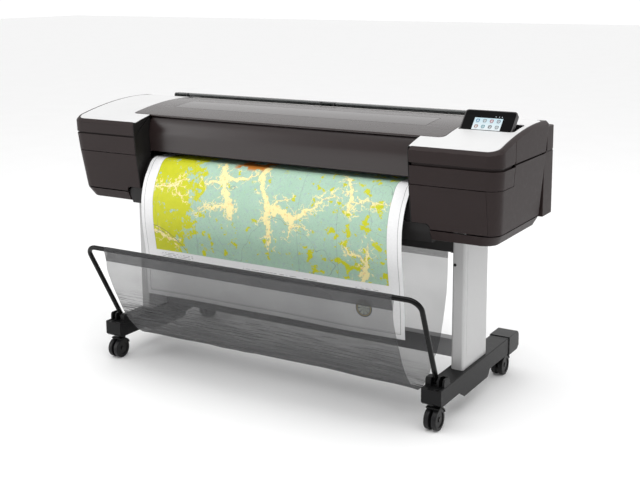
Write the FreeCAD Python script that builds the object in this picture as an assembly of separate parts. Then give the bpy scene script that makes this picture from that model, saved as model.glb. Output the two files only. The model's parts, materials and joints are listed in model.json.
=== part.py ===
"""Large format plotter on a wheeled stand, one STEP file per subcomponent.

Frame: X to the right seen from the front, -Y towards the operator, Z up.
The origin is on the floor at the middle of the bounding box. Millimetres.
"""
import FreeCAD
import Part
import math
import os

from FreeCAD import Vector

os.makedirs("parts", exist_ok=True)

# ---------------------------------------------------------------- overall
HALF_WIDTH = 901.0          # outer face of each end housing
MEDIA_HALF = 559.0          # half of a 1118 mm (44 inch) media roll
INNER_X = 580.0             # inner face of each end housing
LID_HALF = 663.5
LID_FRONT_Y = -156.0
LID_REAR_Y = 170.0
WALL = 3.0                  # moulded skin thickness
SEAM = 1.4                  # gap between neighbouring skins

# Housing outline by height: z, front y, outer x, rear y
HOUSING_LEVELS = (
    (631.0, -203.0, 862.0, 172.0),
    (668.0, -222.0, 883.0, 175.0),
    (821.0, -246.0, 895.2, 177.0),
    (893.0, -253.0, 901.0, 178.0),
    (935.0, -256.0, 901.0, 189.0),
    (1010.0, -256.0, 901.0, 206.0),
)
CORNER_R = 50.0
REAR_CORNER_R = 14.0
CHIN_TOP_Z = 667.0
SHELL_BOTTOM_Z = 670.5
SEAM2_Z = 821.0
SEAM1_LOW_Z = 889.0
SEAM1_HIGH_Z = 895.0
SIDE_SEAM_Y = -117.0
RIM_CHAMFER = 10.0

# Roof line seen from the side: y, z
ROOF = ((-244.0, 948.0), (-133.0, 974.0), (-15.0, 992.0), (100.0, 1000.0), (204.0, 998.0))

# White top panels
PANEL_OUTER_X = 884.0
PANEL_FRONT_Y = -244.0
PANEL_REAR_Y = 200.0
PANEL_CORNER_R = 40.0
PANEL_T = 3.0

# ------------------------------------------------------------------ stand
FOOT_X0, FOOT_X1 = 655.0, 729.0
FOOT_WALL = 4.0
FOOT_FRONT_Y, FOOT_REAR_Y = -290.0, 415.0
FOOT_TOP_Z = 150.0
COLUMN_X0, COLUMN_X1 = 670.0, 717.0
COLUMN_FRONT_Y, COLUMN_REAR_Y = -85.0, 123.0
COLUMN_SPLIT_Y = -60.0
COLUMN_SCREW_Z = 522.0
PAN_Z0, PAN_Z1 = 668.0, 674.0

# ---------------------------------------------------------------- casters
WHEEL_R = 37.5
WHEEL_W = 18.0
WHEEL_GAP = 5.0             # half of the space between the twin wheels
CASTER_TRAIL = 22.0
CASTER_X = 691.0
CASTER_STEM_Y = {"front": -240.0, "rear": 350.0}
CASTER_SEAT_Z = {"front": 90.0, "rear": 82.0}
STEM_R = 6.0
RUNNING = 0.05              # radial play of a running fit

# ----------------------------------------------------------------- basket
PIVOT_X, PIVOT_Y, PIVOT_Z = 688.0, -239.0, 160.0
BAR_X, BAR_Y, BAR_Z = 705.0, -405.0, 482.0
BAR_R = 9.0
HEM_R = 10.0
BEND_R = 42.0
FABRIC_HALF = 610.0
FABRIC_T = 1.0
ROD_Y, ROD_Z, ROD_R = 20.0, 541.0, 5.0
FABRIC_PATH = (
    (-404.0, 472.5), (-400.0, 402.0), (-355.0, 296.0), (-303.0, 198.0), (-240.0, 125.0),
    (-170.0, 100.0), (-118.0, 129.0), (-76.0, 171.0), (-32.0, 232.0), (7.0, 365.0),
    (18.0, 480.0), (19.5, 536.5),
)

# ------------------------------------------------------------ media path
MEDIA_T = 0.4
MEDIA_TOP_Z = 805.0         # underside of the media on the platen
PAPER_DROP = (
    (-150.0, 805.2), (-172.0, 799.0), (-203.0, 765.0), (-237.0, 700.0), (-250.0, 600.0),
    (-242.0, 520.0), (-231.0, 450.0), (-224.0, 360.0), (-220.0, 272.0),
)
FEED_Y, FEED_R = 45.0, 18.0
PINCH_R = 6.0
ROLL_Y, ROLL_Z, ROLL_R = 240.0, 880.0, 60.0
CORE_R = 38.0
FLANGE_R = 72.0
JOURNAL_R = 10.0

# --------------------------------------------------------------- carriage
CARRIAGE_X0, CARRIAGE_X1 = 620.0, 760.0
RAIL_Y0, RAIL_Y1 = 50.0, 62.0
RAIL_LEVELS = ((850.0, 862.0), (897.0, 909.0))
BEAM_Z0, BEAM_Z1 = 840.0, 920.0

# ------------------------------------------------------------ roll cover
COVER_Y, COVER_Z, COVER_R = 235.0, 915.0, 95.0
COVER_HALF = 750.0
COVER_HINGE_Y, COVER_HINGE_Z = 216.0, 1002.0
COVER_HINGES_X = (-716.0, 0.0, 716.0)

# ----------------------------------------------------------- touch panel
SCREEN_X0, SCREEN_X1 = 671.0, 857.0
SCREEN_H, SCREEN_D = 91.5, 20.0
SCREEN_FOOT_Y, SCREEN_FOOT_Z = -52.0, 979.5
SCREEN_TILT = 46.4
SCREEN_HINGE_V, SCREEN_HINGE_N = 6.0, -12.0
DISPLAY = (713.0, 813.0, 10.0, 59.0)
POCKET = (668.0, 867.0, -58.0, 55.0)
POCKET_FLOOR_Z = 962.0

# ------------------------------------------------------------------ doors
DOOR_X0, DOOR_X1 = 583.6, 851.0
DOOR_Z0, DOOR_Z1 = 671.5, 819.6
DOOR_T = 10.0
DOOR_HINGE_Y, DOOR_HINGE_Z = -214.0, 676.5
APRON_HALF, APRON_Z0, APRON_Z1 = 646.0, 621.0, 687.0


# ---------------------------------------------------------------- helpers
def box(x0, x1, y0, y1, z0, z1):
    return Part.makeBox(x1 - x0, y1 - y0, z1 - z0, Vector(x0, y0, z0))


def cyl_x(y, z, r, x0, x1):
    return Part.makeCylinder(r, x1 - x0, Vector(x0, y, z), Vector(1, 0, 0))


def cyl_y(x, z, r, y0, y1):
    return Part.makeCylinder(r, y1 - y0, Vector(x, y0, z), Vector(0, 1, 0))


def cyl_z(x, y, r, z0, z1):
    return Part.makeCylinder(r, z1 - z0, Vector(x, y, z0), Vector(0, 0, 1))


def prism_x(points, x0, x1):
    """Extrude a closed y, z outline along X."""
    ring = [Vector(x0, y, z) for y, z in points]
    face = Part.Face(Part.makePolygon(ring + ring[:1]))
    return face.extrude(Vector(x1 - x0, 0, 0))


def rounded_plate(x0, x1, y0, y1, z0, z1, radii):
    """Plate with corner radii listed from (x0, y0) round to (x0, y1)."""
    corners = ((x0, y0), (x1, y0), (x1, y1), (x0, y1))
    plate = box(x0, x1, y0, y1, z0, z1)
    for (cx, cy), radius in zip(corners, radii):
        if radius > 0:
            edges = edges_near(plate, lambda p: abs(p.x - cx) < 0.1 and abs(p.y - cy) < 0.1)
            plate = plate.makeFillet(radius, edges)
    return plate


def edges_near(shape, test):
    """Edges of which both ends and the middle pass a test on the point."""
    found = []
    for edge in shape.Edges:
        ends = [vertex.Point for vertex in edge.Vertexes]
        middle = edge.valueAt(0.5 * (edge.FirstParameter + edge.LastParameter))
        if all(test(point) for point in ends + [middle]):
            found.append(edge)
    return found


def fuse(shapes):
    body = shapes[0]
    if len(shapes) > 1:
        body = body.fuse(list(shapes[1:]))
    return body.removeSplitter()


def cut(shape, tools):
    return shape.cut(list(tools)) if tools else shape


def mirrored(shape):
    return shape.mirror(Vector(0, 0, 0), Vector(1, 0, 0))


def pair(shape):
    return [shape, mirrored(shape)]


def solids_of(shapes):
    found = []
    for shape in shapes:
        found.extend(shape.Solids)
    return found


def save(name, shapes):
    """Write one node. Shapes is a shape or a list of shapes."""
    shapes = shapes if isinstance(shapes, list) else [shapes]
    solids = solids_of(shapes)
    node = solids[0] if len(solids) == 1 else Part.makeCompound(solids)
    node.exportStep("parts/" + name + ".step")


def side_offset(points, distance):
    """Offset an open y, z polyline sideways by a distance."""
    shifted = []
    for i, (y, z) in enumerate(points):
        before = points[max(i - 1, 0)]
        after = points[min(i + 1, len(points) - 1)]
        dy, dz = after[0] - before[0], after[1] - before[1]
        length = math.hypot(dy, dz)
        shifted.append((y - dz / length * distance, z + dy / length * distance))
    return shifted


def smooth_edge(points, x):
    curve = Part.BSplineCurve()
    curve.interpolate([Vector(x, y, z) for y, z in points])
    return curve.toShape()


def strip(points, low, high, x0, x1):
    """Sheet along a smooth y, z line, from offset low to offset high."""
    first = smooth_edge(side_offset(points, low), x0)
    second = smooth_edge(side_offset(points, high), x0)
    ends = []
    for pick in (0, -1):
        a = first.Vertexes[pick].Point
        b = second.Vertexes[pick].Point
        ends.append(Part.makeLine(a, b))
    wire = Part.Wire(Part.__sortEdges__([first, ends[1], second, ends[0]]))
    return Part.Face(wire).extrude(Vector(x1 - x0, 0, 0))


def folded_sheet(points, thickness, x0, x1):
    """Sheet metal with straight legs along a y, z polyline."""
    other = side_offset(points, thickness)
    return prism_x(list(points) + other[::-1], x0, x1)


# ---------------------------------------------------------------- housing
def housing_section(z, front, outer, rear, inset):
    """Closed outline of the right-hand housing at one height."""
    x0 = INNER_X + inset
    x1 = outer - inset
    y0 = front + inset
    y1 = rear - inset
    r = CORNER_R - inset
    q = max(REAR_CORNER_R - inset, 1.0)
    diagonal = math.sqrt(0.5)
    corner = Vector(x1 - r + r * diagonal, y0 + r - r * diagonal, z)
    back = Vector(x1 - q + q * diagonal, y1 - q + q * diagonal, z)
    a = Vector(x0, y0, z)
    b = Vector(x1 - r, y0, z)
    c = Vector(x1, y0 + r, z)
    d = Vector(x1, y1 - q, z)
    e = Vector(x1 - q, y1, z)
    f = Vector(x0, y1, z)
    edges = [
        Part.makeLine(a, b),
        Part.Arc(b, corner, c).toShape(),
        Part.makeLine(c, d),
        Part.Arc(d, back, e).toShape(),
        Part.makeLine(e, f),
        Part.makeLine(f, a),
    ]
    return Part.Wire(edges)


def housing_solid(inset):
    sections = [housing_section(*level, inset) for level in HOUSING_LEVELS]
    return Part.makeLoft(sections, True, True)


def under_roof(drop, x0=-1000.0, x1=1000.0):
    """Everything below the roof line lowered by a drop."""
    p = [Vector(x0, y, z - drop) for y, z in ROOF]
    slope = (p[1].z - p[0].z) / (p[1].y - p[0].y)
    front = Vector(x0, -300.0, p[0].z - slope * (300.0 + p[0].y))
    rear = Vector(x0, 300.0, p[4].z - 4.0)
    low_rear = Vector(x0, 300.0, 500.0)
    low_front = Vector(x0, -300.0, 500.0)
    edges = [
        Part.makeLine(front, p[0]),
        Part.Arc(p[0], p[1], p[2]).toShape(),
        Part.Arc(p[2], p[3], p[4]).toShape(),
        Part.makeLine(p[4], rear),
        Part.makeLine(rear, low_rear),
        Part.makeLine(low_rear, low_front),
        Part.makeLine(low_front, front),
    ]
    return Part.Face(Part.Wire(edges)).extrude(Vector(x1 - x0, 0, 0))


ROOF_SOLID = under_roof(0.0)
OUTER = housing_solid(0.0)
INNER = housing_solid(WALL)
BACKING_OUTER = housing_solid(WALL + 6.0)
BACKING_INNER = housing_solid(WALL + 8.0)


def rim_edges(shape):
    """Top edges round the front, corner and side of the housing."""
    found = []
    for edge in shape.Edges:
        points = [vertex.Point for vertex in edge.Vertexes]
        middle = edge.valueAt(0.5 * (edge.FirstParameter + edge.LastParameter))
        points.append(middle)
        outward = all(p.y < -200.0 or p.x > 885.0 for p in points)
        high = all(p.z > 940.0 for p in points)
        if outward and high and min(p.x for p in points) > INNER_X - 1.0:
            flat = abs(points[0].z - points[-2].z) > 60.0 and edge.Length < 70.0
            if not flat:
                found.append(edge)
    return found


def panel_footprint(clearance, z0, z1):
    """Plan outline of the right-hand white panel, as a tall prism."""
    outer = PANEL_OUTER_X + clearance
    front = PANEL_FRONT_Y - clearance
    rear = PANEL_REAR_Y + clearance
    radius = PANEL_CORNER_R + clearance
    wide = rounded_plate(INNER_X - 1.0, outer, front, rear, z0, z1, (0, radius, 60.0, 0))
    lid_zone = box(INNER_X - 2.0, LID_HALF + 1.5, LID_FRONT_Y - 2.0, rear + 5.0, z0, z1)
    corner = edges_near(lid_zone, lambda p: p.x > LID_HALF and p.y < LID_FRONT_Y)
    lid_zone = lid_zone.makeFillet(22.0, corner)
    return wide.cut(lid_zone)


def make_top_shell(right):
    block = OUTER.common(box(0, 950, -300, 300, SEAM1_HIGH_Z, 1009.0)).common(ROOF_SOLID)
    block = block.makeChamfer(RIM_CHAMFER, rim_edges(block))
    low_hollow = INNER.common(box(0, 950, -300, 300, 800, 1009.0)).common(under_roof(RIM_CHAMFER + 8.0))
    high_hollow = housing_solid(RIM_CHAMFER + 4.0).common(under_roof(2 * WALL))
    shell = cut(block, [low_hollow, high_hollow])
    sunk = panel_footprint(0.6, 900.0, 1100.0).cut(under_roof(PANEL_T))
    lid_gap = box(INNER_X - 1, LID_HALF + 1.5, LID_FRONT_Y - 2.0, 300, 880, 1100)
    corner = edges_near(lid_gap, lambda p: p.x > LID_HALF and p.y < LID_FRONT_Y)
    lid_gap = lid_gap.makeFillet(22.0, corner)
    shell = cut(shell, [sunk, lid_gap, box(INNER_X - 1, INNER_X + 3.4, -300, 300, 880, 1100)])
    ledge = under_roof(9.0).cut(under_roof(11.5))
    ledge = ledge.common(box(LID_HALF - 14.0, LID_HALF + 10.0, -150.0, 160.0, 900, 1100))
    ledge_web = under_roof(6.0).cut(under_roof(11.5))
    ledge_web = ledge_web.common(box(LID_HALF + 1.5, LID_HALF + 10.0, -150.0, 160.0, 900, 1100))
    shell = fuse([shell, ledge, ledge_web])
    groove = box(HALF_WIDTH - 1.5, HALF_WIDTH + 1, SIDE_SEAM_Y - 0.8, SIDE_SEAM_Y + 0.8, 880, 1100)
    notch = box(HALF_WIDTH - 2.0, HALF_WIDTH + 1, SIDE_SEAM_Y - 9.0, SIDE_SEAM_Y, 880, 901.0)
    lug_room = box(LID_HALF + 1.0, LID_HALF + 10.0, 164.0, 182.0, 950.0, 995.5)
    shell = cut(shell, [groove, notch, lug_room])
    if right:
        x0, x1, y0, y1 = POCKET
        shell = shell.cut(box(x0 - 2.2, x1 + 2.2, y0 - 2.2, y1 + 2.2, 900, 1100))
    return shell


def make_top_panel(right):
    panel = panel_footprint(0.0, 900.0, 1100.0).common(ROOF_SOLID).cut(under_roof(PANEL_T - 0.1))
    panel = panel.cut(box(INNER_X - 2, INNER_X, -300, 300, 900, 1100))
    if right:
        x0, x1, y0, y1 = POCKET
        hole = rounded_plate(x0, x1, y0, y1, 900, 1100, (8, 14, 14, 8))
        panel = panel.cut(hole)
    return panel


def seam_backing(low, x0, y0, y1):
    """Recessed strip that closes the upper seam from inside, on a shelf below it."""
    strip_zone = box(x0, 950, y0, y1, low, SEAM1_HIGH_Z + 10.0)
    shelf_zone = box(x0, 950, y0, y1, low, low + 2.5)
    return [BACKING_OUTER.cut(BACKING_INNER).common(strip_zone),
            INNER.cut(BACKING_INNER).common(shelf_zone)]


def make_mid_band(top):
    zone = box(INNER_X + 3.6, 950, -300, SIDE_SEAM_Y - 0.5 * SEAM, SEAM2_Z + 0.5 * SEAM, top)
    skin = OUTER.cut(INNER).common(zone)
    backing = seam_backing(862.0, INNER_X + 6.0, -300, SIDE_SEAM_Y - 6.0)
    open_side = box(0, INNER_X + 14.0, -235, 300, 600, 1100)
    open_rear = box(0, 950, 0, 300, 600, 1100)
    return cut(fuse([skin] + backing), [open_side, open_rear])


def make_lower_shell():
    skin = OUTER.cut(INNER)
    low = skin.common(box(INNER_X + 3.4, 950, -300, 300, SHELL_BOTTOM_Z, SEAM2_Z - 0.5 * SEAM))
    high = skin.common(box(INNER_X + 3.4, 950, SIDE_SEAM_Y + 0.5 * SEAM, 300, 800, SEAM1_LOW_Z))
    shell = fuse([low, high] + seam_backing(875.0, 860.0, -105.0, 160.0))
    door_hole = box(INNER_X - 5, DOOR_X1 + 0.6, -300, -190, 600, 900)
    inner_wall = box(INNER_X - 5, INNER_X + 5.0, -300, 300, 600, 900)
    rear_hole = box(INNER_X - 5, 845.0, 150, 300, PAN_Z1, 900)
    pan_way = box(INNER_X - 5, 857.0, 150, 300, SHELL_BOTTOM_Z - 1, PAN_Z1 + 1)
    return cut(shell, [door_hole, inner_wall, rear_hole, pan_way])


def make_chin():
    zone = box(APRON_HALF + 2.0, 950, -300, 300, 631.0, CHIN_TOP_Z)
    outer = OUTER.common(zone)
    rim = edges_near(outer, lambda p: p.z < 631.1 and (p.y < -150.0 or p.x > 850.0))
    outer = outer.makeFillet(8.0, rim)
    hollow = INNER.common(box(APRON_HALF + 5.0, 950, -300, 300, 634.0, 700.0))
    opening = box(COLUMN_X0 - 2, COLUMN_X1 + 2, COLUMN_FRONT_Y - 2, COLUMN_REAR_Y + 2, 600, 700)
    bar_way = box(APRON_HALF, COLUMN_X0, -42.0, 32.0, 600, 700)
    swing_room = box(645.0, 653.5, -219.0, -208.0, 665.0, 668.0)
    return cut(outer, [hollow, opening, bar_way, swing_room])


def door_notch(grow):
    """Corner of the door where the lower apron's end shows."""
    notch = box(INNER_X - 5, APRON_HALF + 2.5 + grow, -300, 0, 600, APRON_Z1 + 2.5 + grow)
    edge = edges_near(notch, lambda p: p.x > APRON_HALF and p.z > APRON_Z1)
    return notch.makeFillet(14.0, edge)


def make_door():
    slab = OUTER.cut(housing_solid(DOOR_T)).common(box(DOOR_X0, DOOR_X1, -300, -190, DOOR_Z0, DOOR_Z1))
    slab = cut(slab, [door_notch(0.0)])
    knuckles = []
    for x0 in (668.4, 823.6):
        knuckles.append(cyl_x(DOOR_HINGE_Y, DOOR_HINGE_Z, 5.0, x0, x0 + 12.0))
    ear_rooms = [cyl_x(DOOR_HINGE_Y, DOOR_HINGE_Z, 6.0, x0, x0 + 9.0) for x0 in (659.4, 835.6)]
    grip = box(690.0, 745.0, -243.0, -226.0, 806.0, 812.0)
    slab = fuse([cut(slab, ear_rooms)] + knuckles)
    bore = cyl_x(DOOR_HINGE_Y, DOOR_HINGE_Z, 2.5 + RUNNING, 640.0, 851.5)
    rib_space = box(600, 838, -300, -190, 700, 800).common(housing_solid(WALL))
    return cut(slab, [bore, rib_space, grip.common(housing_solid(WALL))])


def make_door_hinges():
    brackets = []
    for x0, pin0, pin1 in ((660.0, 664.0, 680.0), (836.0, 824.0, 840.0)):
        arm = box(x0, x0 + 8.0, -207.0, -140.0, PAN_Z0, PAN_Z1)
        ear = cyl_x(DOOR_HINGE_Y, DOOR_HINGE_Z, 4.5, x0, x0 + 8.0)
        neck = box(x0, x0 + 8.0, DOOR_HINGE_Y, -200.0, 672.5, 680.0)
        pin = cyl_x(DOOR_HINGE_Y, DOOR_HINGE_Z, 2.5, pin0, pin1)
        brackets.append(fuse([arm, ear, neck, pin]))
    return brackets


def make_cheek():
    zone = box(INNER_X, INNER_X + 3.0, -300, LID_FRONT_Y - 1.5, 689.0, 1009.0)
    plate = OUTER.common(ROOF_SOLID).common(zone)
    return plate.cut(panel_footprint(1.0, 900, 1100).cut(under_roof(PANEL_T)))


def make_top_panels():
    return [make_top_panel(True), mirrored(make_top_panel(False))]


door = make_door()
save("top_shells", [make_top_shell(True), mirrored(make_top_shell(False))])
save("top_panels", make_top_panels())
save("mid_bands", [make_mid_band(SEAM1_LOW_Z - 4.5), mirrored(make_mid_band(SEAM1_LOW_Z))])
save("lower_shells", pair(make_lower_shell()))
save("chins", pair(make_chin()))
save("ink_door_right", door)
save("ink_door_left", mirrored(door))
save("inner_cheeks", pair(make_cheek()))


# ---------------------------------------------------- covers between ends
def make_lower_apron():
    outline = ((-216.0, 687.0), (-212.0, 655.0), (-196.0, 621.0), (-140.0, 621.0), (-140.0, 687.0))
    body = prism_x(outline, -APRON_HALF, APRON_HALF)
    corners = edges_near(body, lambda p: abs(p.x) > APRON_HALF - 0.1 and p.z > 686.9)
    body = body.makeFillet(0.5, corners)
    hollow = ((-212.5, 684.0), (-209.0, 656.0), (-194.0, 624.0), (-139.0, 624.0), (-139.0, 684.0))
    body = body.cut(prism_x(hollow, -APRON_HALF + 3.0, APRON_HALF - 3.0))
    for side in (-1.0, 1.0):
        shoulder = box(-24.0, 24.0, -230.0, -130.0, -24.0, 24.0)
        round_bar = cyl_y(0.0, 0.0, 22.0, -230.0, -130.0)
        centre = Vector(side * (APRON_HALF - 22.0), 0.0, APRON_Z1 - 22.0)
        shoulder.translate(centre)
        round_bar.translate(centre)
        outside = box(0.0, 30.0, -240.0, -120.0, 0.0, 30.0)
        if side < 0:
            outside = mirrored(outside)
        outside.translate(centre)
        body = body.cut(shoulder.common(outside).cut(round_bar))
    return body


def make_output_guide():
    path = ((-150.0, 800.5), (-168.0, 793.0), (-192.0, 764.0), (-210.0, 720.0), (-213.0, 689.0))
    return folded_sheet(path, 3.0, -INNER_X + 1.0, INNER_X - 1.0)


def make_front_cover():
    path = ((-147.0, 960.0), (-154.5, 948.0), (-160.5, 930.0), (-164.5, 912.0), (-167.0, 896.0),
            (-165.0, 872.0), (-161.0, 828.0))
    body = folded_sheet(path, 4.0, -INNER_X + 0.8, INNER_X - 0.8)
    lip = box(-INNER_X + 0.8, INNER_X - 0.8, -160.6, -150.0, 828.0, 831.0)
    return fuse([body, lip])


def make_lid():
    slab = ROOF_SOLID.cut(under_roof(7.0))
    plan = rounded_plate(-LID_HALF, LID_HALF, LID_FRONT_Y, LID_REAR_Y, 900, 1100, (24, 24, 0, 0))
    slab = slab.common(plan)
    barrel = cyl_x(LID_REAR_Y, 991.0, 7.0, -LID_HALF, LID_HALF)
    lid = fuse([slab, barrel])
    seat = box(-548.0, 548.0, -48.0, 73.0, 900, 1100).cut(under_roof(3.0))
    through = box(-532.0, 532.0, -34.0, 59.0, 900, 1100)
    bores = [cyl_x(LID_REAR_Y, 991.0, 2.5 + RUNNING, LID_HALF - 12.0, LID_HALF + 1.0)]
    bores.append(mirrored(bores[0]))
    return cut(lid, [seat, through] + bores)


def make_lid_window():
    pane = ROOF_SOLID.cut(under_roof(2.9))
    return pane.common(box(-547.5, 547.5, -47.5, 72.5, 900, 1100))


def make_lid_hinge():
    lug = box(LID_HALF + 2.5, LID_HALF + 8.5, 166.0, 180.0, 960.0, 994.0)
    pin = cyl_x(LID_REAR_Y, 991.0, 2.5, LID_HALF - 11.0, LID_HALF + 6.0)
    return fuse([lug, pin])


def make_ridge():
    body = box(-640.0, 640.0, 178.5, 203.0, 985.0, 997.5)
    long_edges = edges_near(body, lambda p: p.z > 997.4 and abs(p.x) < 640.1)
    return body.makeFillet(5.0, long_edges)


def make_rear_beam():
    beam = box(-LID_HALF, LID_HALF, 180.0, 203.0, 945.0, 985.0)
    beam = beam.cut(box(-LID_HALF - 1.0, LID_HALF + 1.0, 183.0, 200.0, 948.0, 982.0))
    straps = pair(box(LID_HALF - 20.0, 855.0, 180.0, 184.0, 945.0, 975.0))
    arms = pair(box(LID_HALF + 10.0, 855.0, 160.0, 180.0, 945.0, 949.0))
    shelves = [box(x - 36.0, x + 36.0, 203.0, 226.0, 979.0, 985.0) for x in COVER_HINGES_X]
    return fuse([beam] + straps + arms + shelves)


def make_cover_bracket(x):
    ears = []
    for x0 in (x - 34.0, x + 27.0):
        disc = cyl_x(COVER_HINGE_Y, COVER_HINGE_Z, 9.0, x0, x0 + 7.0)
        leg = box(x0, x0 + 7.0, COVER_HINGE_Y - 9.0, COVER_HINGE_Y + 9.0, 985.0, COVER_HINGE_Z)
        ears.extend([disc, leg])
    base = box(x - 34.0, x + 34.0, 207.0, 225.0, 985.0, 988.0)
    pin = cyl_x(COVER_HINGE_Y, COVER_HINGE_Z, 3.5, x - 34.0, x + 34.0)
    return fuse(ears + [base, pin])


def make_roll_cover():
    tube = cyl_x(COVER_Y, COVER_Z, COVER_R, -COVER_HALF, COVER_HALF)
    tube = tube.cut(cyl_x(COVER_Y, COVER_Z, COVER_R - 3.0, -COVER_HALF, COVER_HALF))
    tube = tube.common(box(-800, 800, 207.0, 400, 884.0, 1100))
    lip = box(-COVER_HALF, COVER_HALF, 322.0, 333.0, 881.0, 884.0)
    parts = [tube, lip]
    notches = []
    bores = []
    for x in COVER_HINGES_X:
        parts.append(cyl_x(COVER_HINGE_Y, COVER_HINGE_Z, 7.5, x - 26.0, x + 26.0))
        for x0 in (x - 35.0, x + 26.0):
            notches.append(cyl_x(COVER_HINGE_Y, COVER_HINGE_Z, 11.0, x0, x0 + 9.0))
        bores.append(cyl_x(COVER_HINGE_Y, COVER_HINGE_Z, 3.5 + RUNNING, x - 36.0, x + 36.0))
    return cut(fuse(parts), notches + bores)


def make_rear_end():
    main = box(600.0, 892.0, 207.0, 280.0, 661.0, 975.0)
    side = box(866.0, 892.0, 179.5, 207.0, 661.0, 886.0)
    main = main.makeFillet(14.0, edges_near(main, lambda p: p.x > 891.9 and p.y > 279.9))
    body = fuse([main, side])
    groove = body.cut(box(603.0, 889.0, 150.0, 277.0, 600, 1000))
    groove = groove.common(box(500, 1000, 150, 300, 886.0, 891.0))
    body = body.cut(groove)
    socket_bore = cyl_x(ROLL_Y, ROLL_Z, JOURNAL_R + RUNNING, 598.0, 640.0)
    drop_in = box(598.0, 640.0, ROLL_Y - JOURNAL_R - RUNNING, ROLL_Y + JOURNAL_R + RUNNING, ROLL_Z, 980.0)
    inside = box(645.0, 885.0, 213.0, 274.0, 667.0, 969.0)
    return cut(body, [socket_bore, drop_in, inside])


def make_rear_panel():
    panel = box(-598.0, 598.0, 190.0, 194.0, PAN_Z1, 800.0)
    slots = []
    for column in range(-4, 5):
        for row in range(5):
            x = column * 120.0
            z = 700.0 + row * 16.0
            slots.append(box(x - 40.0, x + 40.0, 189.0, 195.0, z, z + 5.0))
    return panel.cut(slots)


def make_rear_connectors():
    """Mains inlet and data sockets on the back of the left rear unit."""
    inlet = box(-800.0, -752.0, 280.0, 284.0, 700.0, 730.0)
    inlet = inlet.cut(box(-794.0, -758.0, 281.0, 285.0, 705.0, 725.0))
    pin_places = ((-785, 709), (-776, 716), (-767, 709))
    pins = [box(x - 1.5, x + 1.5, 281.0, 284.0, z, z + 5.0) for x, z in pin_places]
    ports = [inlet.fuse(pins)]
    for x in (-710.0, -680.0):
        port = box(x - 10.0, x + 10.0, 280.0, 283.0, 704.0, 722.0)
        ports.append(port.cut(box(x - 7.0, x + 7.0, 281.0, 284.0, 708.0, 719.0)))
    switch = box(-745.0, -727.0, 280.0, 282.5, 702.0, 728.0)
    rocker = box(-742.0, -730.0, 282.5, 284.5, 705.0, 725.0)
    ports.append(fuse([switch, rocker]))
    return ports


save("rear_connectors", make_rear_connectors())
save("lower_apron", make_lower_apron())
save("output_guide", make_output_guide())
save("front_cover", make_front_cover())
save("lid", make_lid())
save("lid_window", make_lid_window())
hinges = make_door_hinges() + [make_lid_hinge()]
save("cover_hinges", hinges + [mirrored(item) for item in hinges])
save("ridge_strip", make_ridge())
save("rear_beam", make_rear_beam())
save("roll_cover_brackets", [make_cover_bracket(x) for x in COVER_HINGES_X])
save("roll_cover", make_roll_cover())
save("rear_ends", pair(make_rear_end()))
save("rear_panel", make_rear_panel())


# ------------------------------------------------------------ touch panel
def place_screen(shape):
    """Move from the panel's own flat frame to its place on the machine."""
    shape.rotate(Vector(0, 0, 0), Vector(1, 0, 0), SCREEN_TILT)
    shape.translate(Vector(0, SCREEN_FOOT_Y, SCREEN_FOOT_Z))
    return shape


def make_screen_case():
    body = rounded_plate(SCREEN_X0, SCREEN_X1, 0.0, SCREEN_H, -SCREEN_D, 0.0, (12, 12, 12, 12))
    back = body.Faces
    rim = [edge for face in back if abs(face.CenterOfMass.z + SCREEN_D) < 0.01 for edge in face.Edges]
    body = body.makeFillet(4.0, rim)
    seat = rounded_plate(SCREEN_X0 + 4, SCREEN_X1 - 4, 4.0, SCREEN_H - 4, -1.6, 1.0, (9, 9, 9, 9))
    v, n = SCREEN_HINGE_V, SCREEN_HINGE_N
    slots = []
    bores = [cyl_x(v, n, 2.5 + RUNNING, SCREEN_X0 + 20.0, SCREEN_X1 - 20.0)]
    for x in (SCREEN_X0 + 38.0, SCREEN_X1 - 38.0):
        slots.append(box(x - 8.5, x + 8.5, -5.0, 18.0, -SCREEN_D - 5.0, -3.5))
    return place_screen(cut(body, [seat] + slots + bores))


def make_screen_glass():
    glass = rounded_plate(SCREEN_X0 + 4.2, SCREEN_X1 - 4.2, 4.2, SCREEN_H - 4.2, -1.6, 0.0, (9, 9, 9, 9))
    window = box(*DISPLAY, -0.5, 1.0)
    return place_screen(glass.cut(window))


def make_screen_display():
    return place_screen(box(*DISPLAY, -0.5, 0.0))


def make_screen_pocket():
    x0, x1, y0, y1 = POCKET
    tray = rounded_plate(x0 - 2.0, x1 + 2.0, y0 - 2.0, y1 + 2.0, POCKET_FLOOR_Z - 2.5, 1000.0, (9, 15, 15, 9))
    hollow = rounded_plate(x0, x1, y0, y1, POCKET_FLOOR_Z, 1010.0, (8, 14, 14, 8))
    tray = tray.cut(hollow).common(under_roof(PANEL_T + 0.1))
    angle = math.radians(SCREEN_TILT)
    v, n = SCREEN_HINGE_V, SCREEN_HINGE_N
    hinge_y = SCREEN_FOOT_Y + v * math.cos(angle) - n * math.sin(angle)
    hinge_z = SCREEN_FOOT_Z + v * math.sin(angle) + n * math.cos(angle)
    stands = []
    for x in (SCREEN_X0 + 38.0, SCREEN_X1 - 38.0):
        post = box(x - 5.0, x + 5.0, hinge_y - 4.5, hinge_y + 4.5, POCKET_FLOOR_Z, hinge_z)
        eye = cyl_x(hinge_y, hinge_z, 4.5, x - 5.0, x + 5.0)
        pin = cyl_x(hinge_y, hinge_z, 2.5, x - 14.0, x + 14.0)
        stands.append(fuse([post, eye, pin]))
    return fuse([tray] + stands)


save("screen_case", make_screen_case())
save("screen_glass", make_screen_glass())
save("screen_display", make_screen_display())
save("screen_pocket", make_screen_pocket())


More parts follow.
